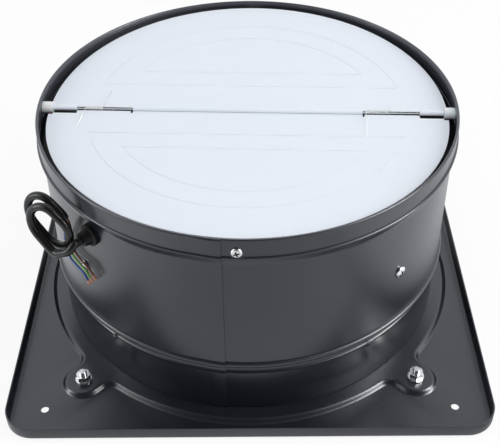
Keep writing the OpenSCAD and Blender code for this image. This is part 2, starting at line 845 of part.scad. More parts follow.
// Pressed line in the shape of a D
module d_line(r, straight_y) {
    line_w = 1.2;
    difference() {
        intersection() {
            circle(r = r, $fn = 180);
            translate([-r, -2 * r - straight_y]) square([2 * r, 2 * r]);
        }
        intersection() {
            circle(r = r - line_w, $fn = 180);
            translate([-r, -2 * r - straight_y - line_w]) square([2 * r, 2 * r]);
        }
    }
}

module flap_lines() {
    d_line(flap_r - 31.5, 33);
    d_line(flap_r - 50.5, 52);
}

// Half disc in front of the hinge, from its edge beside the rod
module half_disc(edge_y) {
    intersection() {
        circle(r = flap_r, $fn = 180);
        translate([-flap_r, -2 * flap_r - edge_y]) square([2 * flap_r, 2 * flap_r]);
    }
}

module knuckle(x0, x1) {
    translate([x0, 0, 0]) rotate([0, 90, 0]) difference() {
        cylinder(r = knuckle_r, h = x1 - x0);
        translate([0, 0, -1]) cylinder(r = knuckle_bore_r, h = x1 - x0 + 2);
    }
}

module flap_sheet() {
    difference() {
        translate([0, 0, sheet_bottom]) linear_extrude(flap_t) children();
        translate([0, 0, sheet_top - 0.3]) linear_extrude(1) flap_lines();
    }
}

module flap_front() {
    color(film_white) at_hinge() rotate([-flap_rest_angle, 0, 0]) {
        flap_sheet() difference() {
            union() {
                half_disc(1.9);
                translate([-centre_knuckle_x, -3]) square([2 * centre_knuckle_x, 3]);
            }
            for (s = [0, 1]) mirror([s, 0]) {
                translate([end_knuckle_x - end_knuckle_len - seat_gap, -6]) square([60, 10]);
                translate([end_knuckle_x - seat_gap, -8]) square([60, 10]);
                translate([centre_knuckle_x, -5]) square([notch_w, 10]);
            }
        }
        difference() {
            knuckle(-centre_knuckle_x, centre_knuckle_x);
            translate([-flap_r, -knuckle_r - 1, sheet_top]) cube([2 * flap_r, knuckle_r - 0.2, 0.5]);
        }
    }
}

module flap_back() {
    color(film_white) at_hinge() rotate([0, 0, 180]) rotate([-flap_rest_angle, 0, 0]) {
        flap_sheet() difference() {
            union() {
                half_disc(1.9);
                for (s = [0, 1]) mirror([s, 0])
                    translate([end_knuckle_x - end_knuckle_len, -3]) square([end_knuckle_len, 3]);
            }
            translate([-centre_knuckle_x - 0.5, -knuckle_r - 0.2])
                square([2 * centre_knuckle_x + 1, knuckle_r + 1]);
            for (s = [0, 1]) mirror([s, 0]) translate([end_knuckle_x, -6]) square([60, 10]);
        }
        for (s = [0, 1]) mirror([s, 0, 0]) difference() {
            knuckle(end_knuckle_x - end_knuckle_len, end_knuckle_x);
            translate([0, -knuckle_r - 1, sheet_top]) cube([flap_r, knuckle_r - 0.2, 0.5]);
        }
    }
}

// Impeller

module motor_shaft() {
    top = core_top + bell_h + 1.5;
    color(steel) rotate_extrude() polygon([
        [0, shaft_low], [shaft_r - 0.8, shaft_low], [shaft_r, shaft_low + 0.8],
        [shaft_r, top - 0.6], [shaft_r - 0.6, top], [0, top]
    ]);
}

module rotor_core() {
    color(steel) difference() {
        union() {
            translate([0, 0, core_z]) cylinder(r = rotor_r, h = core_h);
            translate([0, 0, core_z - 4]) cylinder(r = rotor_r - 5, h = core_h + 8);
        }
        translate([0, 0, core_z - 5]) cylinder(r = shaft_r + run_gap, h = core_h + 10);
    }
}

// Local X runs along the blade, local Z is square to its sheet
module at_blades() {
    for (i = [0:blade_count - 1])
        rotate([0, 0, 360 * i / blade_count + 10]) translate([0, 0, blade_z])
            rotate([blade_pitch, 0, 0]) children();
}

module at_rivets() {
    for (x = rivet_places) translate([x, 0, 0]) children();
}

module impeller_hub() {
    color(black_paint) difference() {
        union() {
            translate([0, 0, boss_low]) cylinder(r = boss_r, h = boss_high - boss_low);
            translate([0, 0, blade_z - 5]) cylinder(r = 34, h = 8);
            at_blades() translate([hub_arm_inner, -arm_w / 2, -arm_t])
                cube([hub_arm_outer - hub_arm_inner, arm_w, arm_t]);
        }
        translate([0, 0, boss_low - 1]) cylinder(r = shaft_r + run_gap, h = boss_high - boss_low + 2);
        at_blades() at_rivets() translate([0, 0, -arm_t - 4]) cylinder(d = rivet_d, h = arm_t + 8);
    }
}

// Outline of a blade, seen along the duct
module blade_outline() {
    intersection() {
        difference() {
            circle(r = impeller_r, $fn = 180);
            circle(r = blade_root_r);
        }
        union() {
            translate([blade_mid_r, 0]) circle(r = blade_round_r);
            polygon([
                [blade_root_r - 4, -arm_w / 2], [blade_root_r - 4, arm_w / 2],
                [blade_root_r + 24, arm_w / 2 + 17], [blade_root_r + 24, -arm_w / 2 - 17]
            ]);
        }
    }
}

module impeller_blades() {
    sheet_low = 0.05;
    color([0.13, 0.13, 0.14]) for (i = [0:blade_count - 1])
        rotate([0, 0, 360 * i / blade_count + 10]) translate([0, 0, blade_z]) difference() {
            intersection() {
                rotate([blade_pitch, 0, 0]) translate([0, 0, blade_camber_r + sheet_low])
                    rotate([0, 90, 0]) ring(blade_camber_r, blade_camber_r - blade_t, impeller_r + 5);
                translate([0, 0, -30]) linear_extrude(80) blade_outline();
            }
            rotate([blade_pitch, 0, 0]) at_rivets() translate([0, 0, -6]) cylinder(d = rivet_d, h = 12);
        }
}

module blade_rivets() {
    head_r = 4.2;
    shank_r = rivet_d / 2 - run_gap;
    low = -arm_t - seat_gap / 3;
    high = blade_t + 0.3;
    color(zinc) at_blades() at_rivets() rotate_extrude() polygon(concat(
        [for (a = [-90:18:0]) [head_r * cos(a), low + 2 * sin(a)]],
        [[shank_r, low], [shank_r, high]],
        [for (a = [0:18:90]) [head_r * cos(a), high + 2 * sin(a)]]
    ));
}

module impeller_nut() {
    color(zinc) translate([0, 0, boss_low - seat_gap - impeller_nut_h])
        hex_nut(16, impeller_nut_h, shaft_r + run_gap);
}

mounting_plate();
inlet_guard();
guard_bolts();
bolt_washers();
bolt_nuts();
barrel();
motor_bracket();
bracket_screws();
bracket_nuts();
motor_front_bell();
motor_rear_bell();
stator_core();
stator_windings();
front_bearing();
rear_bearing();
run_capacitor();
capacitor_clip();
motor_lead();
cable_gland();
hinge_rod();
rod_bushes();
flap_stops();
stop_screws();
stop_nuts();
torsion_spring_left();
torsion_spring_right();
cord_lead();
cord_loops();
core_brown();
core_blue();
core_earth();
motor_shaft();
rotor_core();
impeller_hub();
impeller_blades();
blade_rivets();
impeller_nut();
flap_front();
flap_back();
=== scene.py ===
# %% [markdown]
# # A wall exhaust fan with a butterfly shutter
# The fan is a black steel barrel on a square wall plate. Two pale half-round flaps close its outlet, and a
# short looped cord hangs at its side. The solid model of all its pieces is already made, so this lesson
# dresses that model: it sets up the camera of the photograph, lays the cord, adds the pieces whose look needs
# finer meshes than a solid model has, makes the finishes, and builds the studio.

# %% Load the solid model
import math

import bmesh
import bpy
from mathutils import Matrix, Vector, noise


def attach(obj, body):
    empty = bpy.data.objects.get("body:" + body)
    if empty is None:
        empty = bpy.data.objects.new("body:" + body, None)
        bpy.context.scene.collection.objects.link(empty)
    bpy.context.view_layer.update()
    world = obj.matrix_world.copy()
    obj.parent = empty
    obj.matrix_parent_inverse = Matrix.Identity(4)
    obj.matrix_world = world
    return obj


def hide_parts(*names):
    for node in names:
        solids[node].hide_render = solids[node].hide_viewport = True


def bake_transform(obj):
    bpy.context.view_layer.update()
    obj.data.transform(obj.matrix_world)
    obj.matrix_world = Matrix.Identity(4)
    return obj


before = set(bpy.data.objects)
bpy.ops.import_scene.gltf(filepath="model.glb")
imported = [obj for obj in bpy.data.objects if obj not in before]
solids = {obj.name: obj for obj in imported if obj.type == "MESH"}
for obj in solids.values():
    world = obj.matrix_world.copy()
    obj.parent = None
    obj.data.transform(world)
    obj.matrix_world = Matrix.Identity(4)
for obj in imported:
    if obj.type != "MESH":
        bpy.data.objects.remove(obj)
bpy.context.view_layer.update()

MM = 0.001


# %% [markdown]
# ## The camera
# The photograph was taken from above and from less than a metre away, so the barrel narrows a little towards
# the wall plate, and the round outlet shows as a wide ellipse. The camera is turned by given axes instead of
# a target, because the photograph is also tilted by less than a degree. The picture was cropped after it was
# taken, so its middle isn't the middle of the lens, and a small shift puts that right.

# %% Set up the camera
PICTURE_WIDTH = 500
FOCAL_PIXELS, SHIFT_PIXELS, SENSOR_WIDTH = 952.4, (1.78, -29.54), 36
camera_place = Vector((4.4, -620.1, 591.4)) * MM
towards_camera = Vector((0.0057, -0.7753, 0.6316)).normalized()
roll = math.radians(-0.75)

level_right = Vector((0, 0, 1)).cross(towards_camera).normalized()
level_up = towards_camera.cross(level_right)
camera_right = level_right * math.cos(roll) + level_up * math.sin(roll)
camera_up = level_up * math.cos(roll) - level_right * math.sin(roll)

lens = bpy.data.cameras.new("studio_camera")
lens.sensor_width = SENSOR_WIDTH
lens.lens = FOCAL_PIXELS / PICTURE_WIDTH * SENSOR_WIDTH
lens.shift_x, lens.shift_y = (pixels / PICTURE_WIDTH for pixels in SHIFT_PIXELS)
lens.clip_start, lens.clip_end = 0.05, 50
camera = bpy.data.objects.new("studio_camera", lens)
camera_axes = Matrix((camera_right, camera_up, towards_camera)).transposed()
camera.matrix_world = Matrix.Translation(camera_place) @ camera_axes.to_4x4()
bpy.context.scene.collection.objects.link(camera)
bpy.context.scene.camera = camera
bpy.context.scene.view_settings.view_transform = "Standard"
print("focal length", round(lens.lens, 1), "mm")

# %% [markdown]
# ## The supply cord
# The cord leaves a rubber gland in the barrel's side, turns along the wall and is laid in two long loops.
# Its outer sheath ends at the wall, and three insulated cores hang down behind the loops. A simulation could
# drop a cord, but this one keeps the form that a hand gave it, so its route is drawn. It is the route that
# the solid model has: the loops are straight runs and half circles that slide apart from turn to turn, and
# the rest are points given one by one.

# %% Two long loops
CORD_D = 6
LOOP_CENTRE = Vector((-140, -112.9, 151.4))
LOOP_R, LOOP_STRAIGHT, LOOP_PITCH, LOOP_DRIFT = 13.5, 10.5, CORD_D + 2.2, (13, 7)
LOOP_TAIL, TURNS_BEHIND = 17, 0.85
loop_u = Vector((-0.67, 0.44, 0.59)).normalized()
loop_n = loop_u.cross(Vector((-0.45, -0.89, 0.05)).cross(loop_u)).normalized()
loop_v = loop_n.cross(loop_u)
turn_length = 2 * LOOP_STRAIGHT + 2 * math.pi * LOOP_R
loops_length = turn_length + LOOP_STRAIGHT + math.pi * LOOP_R + LOOP_TAIL


def loop_point(s):
    """Point of the loops after s millimetres: along a straight run, round a half circle, and so on."""
    place = s % turn_length
    side = 1 if place < turn_length / 2 else -1
    on_side = place % (turn_length / 2)
    turned = max(0, on_side - LOOP_STRAIGHT) / LOOP_R
    straight = min(on_side, LOOP_STRAIGHT) - LOOP_STRAIGHT / 2
    share = s / loops_length - 0.5
    u = side * (straight + LOOP_R * math.sin(turned)) + LOOP_DRIFT[0] * share
    v = side * LOOP_R * math.cos(turned) + LOOP_DRIFT[1] * share
    return LOOP_CENTRE + loop_u * u + loop_v * v - loop_n * LOOP_PITCH * (s / turn_length - TURNS_BEHIND)


print("loops", round(loops_length), "mm long,", round(loops_length / turn_length, 2), "turns")

# %% Smooth lines, and points round the barrel
def polar(angle, radius, height):
    """Point round the barrel. Angles count from the front towards +X."""
    turn = math.radians(angle)
    return Vector((radius * math.sin(turn), -radius * math.cos(turn), height))


def smooth_line(points, steps):
    """Points on a curve through all the given points, with steps between each pair."""
    line = []
    for i in range(len(points) - 1):
        before, start, end = points[max(i - 1, 0)], points[i], points[i + 1]
        after = points[min(i + 2, len(points) - 1)]
        gap = (end - start).length
        leave = (end - before) / max((end - before).length, 1e-9) * gap
        arrive = (after - start) / max((after - start).length, 1e-9) * gap
        for step in range(steps):
            t = step / steps
            line.append(start * (2 * t**3 - 3 * t**2 + 1) + leave * (t**3 - 2 * t**2 + t)
                        + end * (3 * t**2 - 2 * t**3) + arrive * (t**3 - t**2))
    return line + [points[-1]]


def line_length(line):
    return sum((b - a).length for a, b in zip(line, line[1:]))


quarter = smooth_line([polar(angle, 1, 0) for angle in (0, 30, 60, 90)], 5)
print("a quarter circle of radius 1 comes out", round(line_length(quarter), 3), "long, and 1.571 is exact")

# %% The cord's line
BARREL_R, BARREL_TURN = 161, -2.5
GLAND_ANGLE, GLAND_Z, GLAND_OUT = -41, 144.6, 9
BEFORE_LOOPS = ((-124.8, -130.4, 141), (-130.2, -128.4, 137.4), (-135.7, -125.6, 134.7))
LOOP_SKIP, LOOP_STEPS, CORD_STEPS = 4, 40, 5

gland_dir = polar(GLAND_ANGLE + BARREL_TURN, 1, 0)
lead_start = polar(GLAND_ANGLE + BARREL_TURN, BARREL_R + GLAND_OUT, GLAND_Z)
loops_start = loop_point(LOOP_SKIP)
start_dir = (loop_point(LOOP_SKIP + 0.5) - loop_point(LOOP_SKIP - 0.5)).normalized()
cord_points = [lead_start, lead_start + gland_dir * 3, lead_start + gland_dir * CORD_D]
cord_points += [Vector(p) for p in BEFORE_LOOPS]
cord_points += [loops_start + start_dir * CORD_D * share for share in (-1, -0.5, 0, 0.5, 1)]
cord_points += [loop_point(LOOP_SKIP + (loops_length - LOOP_SKIP) * i / LOOP_STEPS)
                for i in range(2, LOOP_STEPS + 1)]
cord_line = [p * MM for p in smooth_line(cord_points, CORD_STEPS)]
cord_length = line_length(cord_line)
print("cord length", round(cord_length, 4), "m")

# %% [markdown]
# ## A tube along a line
# The cord, its cores and the springs are all round tubes that follow a line. A curve object could be
# thickened for this, but a mesh can carry a second set of coordinates: how far along and how far round the
# tube each point lies. The stripe on the earth core needs these. The rings are carried along the line
# without turning them, which keeps the stripe straight.

# %% Rings of points and the faces between them
def link_mesh(name, points, faces):
    """A smooth mesh object in the scene."""
    mesh = bpy.data.meshes.new(name)
    mesh.from_pydata([tuple(p) for p in points], [], faces)
    mesh.validate()
    mesh.polygons.foreach_set("use_smooth", [True] * len(mesh.polygons))
    piece = bpy.data.objects.new(name, mesh)
    bpy.context.scene.collection.objects.link(piece)
    return piece


def circle(centre, across, other, radius, sides):
    """Ring of points in the plane of two directions."""
    turns = [2 * math.pi * k / sides for k in range(sides)]
    return [centre + (across * math.cos(turn) + other * math.sin(turn)) * radius for turn in turns]


def ring_faces(rings, sides, first=0):
    """Faces between rings of points, the first of which starts at point number first."""
    faces = []
    for ring in range(rings - 1):
        for k in range(sides):
            a, b = first + ring * sides + k, first + ring * sides + (k + 1) % sides
            faces.append((a, b, b + sides, a + sides))
    return faces


def end_faces(rings, sides, first=0):
    """The two flat ends of such rings."""
    last = first + (rings - 1) * sides
    return [tuple(first + k for k in range(sides))[::-1], tuple(last + k for k in range(sides))]


print("an eight-sided ring pair has", len(ring_faces(2, 8) + end_faces(2, 8)), "faces")

# %% Lay the cord
CORD_SIDES = 24


def tube(name, line, radius, sides):
    """Mesh tube along the line. UV holds metres along it and turns round it."""
    points, marks = [], []
    across = (line[1] - line[0]).normalized().orthogonal().normalized()
    along = 0.0
    for i, centre in enumerate(line):
        direction = (line[min(i + 1, len(line) - 1)] - line[max(i - 1, 0)]).normalized()
        across = (across - direction * across.dot(direction)).normalized()
        points += circle(centre, across, direction.cross(across), radius, sides)
        along += (centre - line[i - 1]).length if i else 0
        marks.append(along)
    piece = link_mesh(name, points, ring_faces(len(line), sides) + end_faces(len(line), sides))
    mesh = piece.data
    layer = mesh.uv_layers.new(name="tube")
    for face in mesh.polygons:
        corners = [(loop, *divmod(mesh.loops[loop].vertex_index, sides)) for loop in face.loop_indices]
        closing = max(k for _, _, k in corners) == sides - 1
        for loop, ring, k in corners:
            layer.data[loop].uv = (marks[ring], 1.0 if closing and k == 0 else k / sides)
    for end in (-2, -1):
        mesh.polygons[len(mesh.polygons) + end].use_smooth = False
    return piece


supply_cord = tube("supply_cord", cord_line, CORD_D / 2 * MM, CORD_SIDES)
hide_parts("cord_lead", "cord_loops")
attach(supply_cord, "housing")
print("cord", len(supply_cord.data.polygons), "faces")

# %% [markdown]
# ## The cores
# Brown, blue, and yellow and green: three thin wires leave the sheath's end and hang down along the wall.
# Each ends in a few millimetres of bare copper. One rounded stub could stand for it, but fine strands of
# uneven length catch the light as the real ones do, so each end is nine tiny tubes, merged into one piece.

# %% Lay the three cores
CORE_D, CORE_SIDES, CORE_STEPS, SHEATH_WALL = 1.8, 12, 6, 0.5
CORE_ROUTES = {
    "core_brown": (260, (
        (-126.7, -108.3, 144.5), (-127.2, -106.1, 136.3), (-128.5, -102.9, 126.7), (-128.5, -102.2, 118),
        (-126.1, -105.8, 114.8), (-120.6, -112.9, 113.6), (-115.8, -118.5, 112.4), (-112.7, -121.1, 108.7))),
    "core_blue": (20, (
        (-132.3, -102.4, 139.2), (-134.4, -96.7, 128.1), (-136.3, -92.3, 117.3), (-136.5, -91.3, 106.4),
        (-133.3, -96.6, 102.5), (-126.1, -106.7, 102.9), (-121, -113.2, 102.5), (-118.6, -115.2, 97.8))),
    "core_earth": (140, (
        (-129, -106.3, 142.8), (-130.7, -101.7, 132.5), (-132.3, -98, 122.3), (-132.4, -97.2, 112.6),
        (-129.6, -101.5, 108.9), (-123.3, -109.9, 108.4), (-118.4, -116, 107.6), (-115.7, -118.2, 103.3))),
}
sheath_end = cord_points[-1]
sheath_dir = (cord_points[-1] - cord_points[-2]).normalized()
sheath_side = sheath_dir.cross(Vector((0, 0, 1))).normalized()
sheath_up = sheath_dir.cross(sheath_side)
core_spread = CORD_D / 2 - CORE_D / 2 - SHEATH_WALL
cores, core_lines = {}, {}
for name, (angle, low_points) in CORE_ROUTES.items():
    turn = math.radians(angle)
    start = sheath_end + (sheath_side * math.cos(turn) + sheath_up * math.sin(turn)) * core_spread
    route = [start, start + sheath_dir * 2] + [Vector(p) for p in low_points]
    core_lines[name] = [p * MM for p in smooth_line(route, CORE_STEPS)]
    cores[name] = tube(name + "_insulation", core_lines[name], CORE_D / 2 * MM, CORE_SIDES)
    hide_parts(name)
    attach(cores[name], "housing")
    print(name, "length", round(line_length(core_lines[name]), 4), "m")

# %% Bare strands at the ends of the cores
STRANDS, STRAND_R, STRAND_SIDES, STRAND_TURN = 9, 0.2, 6, 2.4


def merge(name, pieces):
    """One mesh object made of several, which are deleted."""
    work = bmesh.new()
    for piece in pieces:
        work.from_mesh(piece.data)
        bpy.data.objects.remove(piece)
    mesh = bpy.data.meshes.new(name)
    work.to_mesh(mesh)
    work.free()
    merged = bpy.data.objects.new(name, mesh)
    bpy.context.scene.collection.objects.link(merged)
    return merged


tips = {}
for name, line in core_lines.items():
    end, ahead = line[-1], (line[-1] - line[-3]).normalized()
    side = ahead.orthogonal().normalized()
    strands = []
    # Sines and remainders make the strands uneven, and the same each run.
    for i in range(STRANDS):
        out = Matrix.Rotation(STRAND_TURN * i, 3, ahead) @ side * math.sqrt(i / STRANDS)
        length = 3.8 + 0.9 * math.sin(3.1 * i)
        steps = [(-1, 0.45), (0, 0.5), (0.4 * length, 0.8 + 0.1 * (i % 3)), (length, 0.9 + 0.3 * (i % 4))]
        strand = smooth_line([end + (ahead * along + out * spread) * MM for along, spread in steps], 4)
        strands.append(tube(f"{name}_strand_{i}", strand, STRAND_R * MM, STRAND_SIDES))
    tips[name] = merge(name + "_strands", strands)
    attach(tips[name], "housing")
print("bare ends", len(tips), "of", STRANDS, "strands each")

for name, insulation in cores.items():
    round(line_length(core_lines[name]), 3)
print("cords", 1 + len(cores))

# %% [markdown]
# ## The wall plate
# The plate is one sheet, drawn and bent in a press: a lip stands up round its edge, a low disc with four
# lobes is pressed up in its middle, and a collar is turned up round the bore. A solid model keeps the edge
# of such a pressing sharp, and a real one is soft, which is what catches the light. So the sheet is laid
# again here as a stack of closed lines with the same number of points: each is the plate's outline, the
# lobed outline or the bore's circle, moved sideways and up. Between two lines lies one row of faces.

# %% The lobed outline
PRESS_R, LOBE_R, FILLET_R, BOLT_RING = 172, 16, 9, 184.7
DISC_STEPS, FILLET_STEPS, TIP_STEPS = 18, 9, 13
fillet_x = math.sqrt((PRESS_R + FILLET_R)**2 - (LOBE_R + FILLET_R)**2)
fillet_turn = math.atan2(LOBE_R + FILLET_R, fillet_x)


def half_lobe():
    """Points and outward directions from the middle of a side to the tip of a lobe, which lies along +X."""
    points, outward = [], []
    for i in range(DISC_STEPS):
        turn = -math.pi / 4 + (math.pi / 4 - fillet_turn) * i / DISC_STEPS
        outward.append(Vector((math.cos(turn), math.sin(turn))))
        points.append(outward[-1] * PRESS_R)
    centre = Vector((fillet_x, -LOBE_R - FILLET_R))
    for i in range(FILLET_STEPS):
        turn = math.pi - fillet_turn - (math.pi / 2 - fillet_turn) * i / (FILLET_STEPS - 1)
        outward.append(-Vector((math.cos(turn), math.sin(turn))))
        points.append(centre - outward[-1] * FILLET_R)
    for i in range(TIP_STEPS):
        turn = -math.pi / 2 + math.pi / 2 * i / (TIP_STEPS - 1)
        outward.append(Vector((math.cos(turn), math.sin(turn))))
        points.append(Vector((BOLT_RING, 0)) + outward[-1] * LOBE_R)
    return points, outward


def all_corners(points, outward):
    """Mirrors an eighth of an outline and repeats it at the four corners."""
    eighth = list(zip(points, outward))
    mirrored = [(Vector((p.x, -p.y)), Vector((n.x, -n.y))) for p, n in eighth[-2:0:-1]]
    whole = []
    for corner in range(4):
        turn = Matrix.Rotation(math.pi / 4 + corner * math.pi / 2, 2)
        whole += [(turn @ p, turn @ n) for p, n in eighth + mirrored]
    return whole


lobe_points, lobe_outward = half_lobe()
lobed_line = all_corners(lobe_points, lobe_outward)
print("points round the pressing", len(lobed_line))

# %% The plate's outline
PLATE_HALF, PLATE_CORNER = 185, 22


def half_corner():
    """The rounded square from the middle of a side to a corner, with a point for each of the half lobe's."""
    beside_disc = DISC_STEPS + FILLET_STEPS
    corner_at = PLATE_HALF - PLATE_CORNER
    bearings = [math.atan2(p.y, p.x) for p in lobe_points[:beside_disc + 1]]
    heights = [PLATE_HALF * math.tan(math.pi / 4 + bearing) for bearing in bearings]
    points = [Vector((PLATE_HALF, height)) for height in heights[:-1]]
    outward = [Vector((1, 0))] * beside_disc
    straight, arc = corner_at - heights[-1], PLATE_CORNER * math.pi / 4
    for i in range(TIP_STEPS):
        along = (straight + arc) * i / (TIP_STEPS - 1)
        angle = max(0, along - straight) / PLATE_CORNER
        centre = Vector((corner_at, heights[-1] + min(along, straight)))
        outward.append(Vector((math.cos(angle), math.sin(angle))))
        points.append(centre + outward[-1] * PLATE_CORNER)
    turn = Matrix.Rotation(-math.pi / 4, 2)
    return [turn @ p for p in points], [turn @ n for n in outward]


edge_line = all_corners(*half_corner())
print("points round the plate", len(edge_line))

# %% The sheet's profile
SHEET, PRESS_H, PRESS_UNDER, LIP_H, LIP_BEND = 1.2, 4.2, 3.0, 12, 3
BORE_R, COLLAR_H, COLLAR_BEND = 150, 30, 3
SHOULDER_WIDTH, SHOULDER_STEPS, SHOULDER_TOP, SHOULDER_FOOT = 4.8, 12, -2.9, 1.4


def arc_steps(start, end, count):
    return [math.radians(start + (end - start) * i / count) for i in range(count + 1)]


def bend(kind, off, height, radius, start, end, count):
    """Lines round a bend of the sheet."""
    return [(kind, off + radius * math.cos(a), height + radius * math.sin(a))
            for a in arc_steps(start, end, count)]


def shoulder(share):
    """Height over the foot of the pressing's shoulder, from its top at 0 to its foot at 1."""
    return (PRESS_H - SHEET) * (0.5 + 0.5 * math.cos(math.pi * share))


shares = [i / SHOULDER_STEPS for i in range(SHOULDER_STEPS + 1)]
bend_r, bend_z = BORE_R + SHEET + COLLAR_BEND, PRESS_H + COLLAR_BEND
# The profile goes down the collar's outside, out to the lip, over it and back underneath. The few tenths of a
# millimetre beside a sheet's edge round that edge.
profile = [("bore", BORE_R + 0.15, COLLAR_H - 0.15), ("bore", BORE_R + 0.6, COLLAR_H),
           ("bore", BORE_R + SHEET - 0.2, COLLAR_H), ("bore", BORE_R + SHEET, COLLAR_H - 0.2)]
profile += bend("bore", bend_r, bend_z, COLLAR_BEND, -180, -90, 8)
profile += [("lobe", -4, PRESS_H)]
profile += [("lobe", SHOULDER_TOP + SHOULDER_WIDTH * share, SHEET + shoulder(share)) for share in shares]
profile += [("edge", LIP_BEND + 1.5, SHEET)]
profile += bend("edge", LIP_BEND, LIP_BEND, LIP_BEND - SHEET, 270, 180, 6)
profile += [("edge", SHEET, LIP_H - 0.4), ("edge", SHEET - 0.12, LIP_H - 0.1), ("edge", SHEET - 0.4, LIP_H),
            ("edge", 0.4, LIP_H), ("edge", 0.12, LIP_H - 0.1), ("edge", 0, LIP_H - 0.4)]
profile += bend("edge", LIP_BEND, LIP_BEND, LIP_BEND, 180, 270, 8)
profile += [("edge", LIP_BEND + 1.5, 0)]
profile += [("lobe", SHOULDER_FOOT - SHOULDER_WIDTH * share, shoulder(1 - share)) for share in shares]
profile += [("lobe", -5, PRESS_UNDER)]
profile += bend("bore", bend_r, bend_z, COLLAR_BEND + SHEET, -90, -180, 8)
profile += [("bore", BORE_R, COLLAR_H - 0.6)]
print("lines in the sheet's profile", len(profile))

# %% Lay the sheet
def ring_on(kind, off, height):
    """A closed line. Off is a move outward from the lobes, inward from the edge, or the bore's radius."""
    ring = []
    for (edge, edge_out), (lobe, lobe_out) in zip(edge_line, lobed_line):
        if kind == "edge":
            flat = edge - edge_out * off
        elif kind == "lobe":
            flat = lobe + lobe_out * off
        else:
            flat = lobe.normalized() * off
        ring.append(Vector((flat.x, flat.y, height)) * MM)
    return ring


def wrap(name, rings):
    """Mesh between closed rings, the last joined to the first, with its faces outward."""
    count = len(rings[0])
    faces = []
    for i in range(len(rings)):
        low, high = i * count, (i + 1) % len(rings) * count
        for k in range(count):
            m = (k + 1) % count
            faces.append((low + k, high + k, high + m, low + m))
    piece = link_mesh(name, [p for ring in rings for p in ring], faces)
    turn_outward(piece)
    return piece


def turn_outward(piece):
    """Makes the faces of a closed mesh look outward."""
    work = bmesh.new()
    work.from_mesh(piece.data)
    bmesh.ops.recalc_face_normals(work, faces=work.faces)
    work.to_mesh(piece.data)
    work.free()


wall_plate = wrap("wall_plate", [ring_on(*step) for step in profile])
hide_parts("mounting_plate")
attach(wall_plate, "housing")
print("wall plate", len(wall_plate.data.polygons), "faces")

# %% Drill the plate
WALL_HOLE_AT, WALL_HOLE_R, BOLT_HOLE_R = 157.5, 3.1, 3.2
DRILL_HALF, DRILL_SIDES, PLATE_CREASE = 12, 32, 40


def cut_away(piece, cutter):
    """Takes the cutter's shape out of the piece and deletes the cutter."""
    cut = piece.modifiers.new("cut", "BOOLEAN")
    cut.operation, cut.solver, cut.object = "DIFFERENCE", "EXACT", cutter
    shape = bpy.data.meshes.new_from_object(piece.evaluated_get(bpy.context.evaluated_depsgraph_get()))
    piece.modifiers.clear()
    piece.data = shape
    bpy.data.objects.remove(cutter)


def soft_edges(piece, degrees):
    """Smooth shading that stays sharp where faces meet at more than so many degrees."""
    piece.data.polygons.foreach_set("use_smooth", [True] * len(piece.data.polygons))
    work = bmesh.new()
    work.from_mesh(piece.data)
    for edge in work.edges:
        edge.smooth = len(edge.link_faces) != 2 or edge.calc_face_angle(0) < math.radians(degrees)
    work.to_mesh(piece.data)
    work.free()


bolt_at = BOLT_RING / math.sqrt(2)
drill_points, drill_faces = [], []
for at, radius in ((WALL_HOLE_AT, WALL_HOLE_R), (bolt_at, BOLT_HOLE_R)):
    for x, y in ((-at, -at), (-at, at), (at, -at), (at, at)):
        drill_faces += ring_faces(2, DRILL_SIDES, len(drill_points))
        drill_faces += end_faces(2, DRILL_SIDES, len(drill_points))
        for height in (-DRILL_HALF, DRILL_HALF):
            ring = circle(Vector((x, y, height)), Vector((1, 0, 0)), Vector((0, 1, 0)), radius, DRILL_SIDES)
            drill_points += [p * MM for p in ring]
cut_away(wall_plate, link_mesh("plate_drills", drill_points, drill_faces))
soft_edges(wall_plate, PLATE_CREASE)
print("drilled wall plate", len(wall_plate.data.polygons), "faces")

# %% [markdown]
# ## The barrel
# The barrel is a strip of sheet, rolled to a ring and lapped at a seam in front, then given a foot, a bead
# and a wider band in a spinning lathe. A turned profile gives all of that, but the lap breaks the round:
# the outer end of the strip stands out by a sheet's thickness. So each point of the profile asks how far it
# is from the seam, and moves outward there. The sheet is never quite round, and a slow ripple of a
# twentieth of a millimetre bends the long reflections the way the photograph shows them.

# %% The barrel's profile
BARREL_H, NECK_R, BARREL_SHEET, FOOT_R = 179, 159.5, 1.0, 155
GROOVE_Z, GROOVE_DEEP, GROOVE_HALF = 48, 2.6, 4.2
RIB_Z, RIB_OUT, RIB_HALF = 55, 2, 2.4
BAND_H, BAND_OUT, BAND_ROUND = 17, 2, 1.2
BAND_Z, BAND_R = BARREL_H - BAND_H, BARREL_R + BAND_OUT

# The profile goes up the outside, with a step of a quarter of a millimetre under the band, then over the
# rim, down the hem and under it, down the inside and round the foot.
outer = [(NECK_R, PRESS_H + 1.0)]
outer += [(NECK_R - GROOVE_DEEP * math.sin(a), GROOVE_Z - GROOVE_HALF * math.cos(a))
          for a in arc_steps(0, 180, 14)]
outer += [(BARREL_R + RIB_OUT * math.sin(a), RIB_Z - RIB_HALF * math.cos(a))
          for a in arc_steps(15, 180, 12)]
outer += [(BARREL_R, RIB_Z + 8), (BARREL_R, BAND_Z - 8), (BARREL_R, BAND_Z - 6.2),
          (BARREL_R + 0.25, BAND_Z - 5.2)]
outer += [(BAND_R + BAND_ROUND * math.sin(a), BAND_Z + BAND_ROUND - BAND_ROUND * math.cos(a))
          for a in arc_steps(0, 180, 10)]
outer += [(BAND_R, BARREL_H - 3), (BAND_R, BARREL_H - 0.9)]
rim = [(BAND_R - 1 + math.cos(a), BARREL_H - 1 + math.sin(a)) for a in arc_steps(15, 165, 8)]
hem = [(BAND_R - 2, BARREL_H - 1.2), (BAND_R - 2, BARREL_H - 4.3), (BAND_R - 1.7, BARREL_H - 4.6),
       (BAND_R - 1, BARREL_H - 4.6)]
inner = [(r - BARREL_SHEET, z) for r, z in reversed(outer[1:-2])]
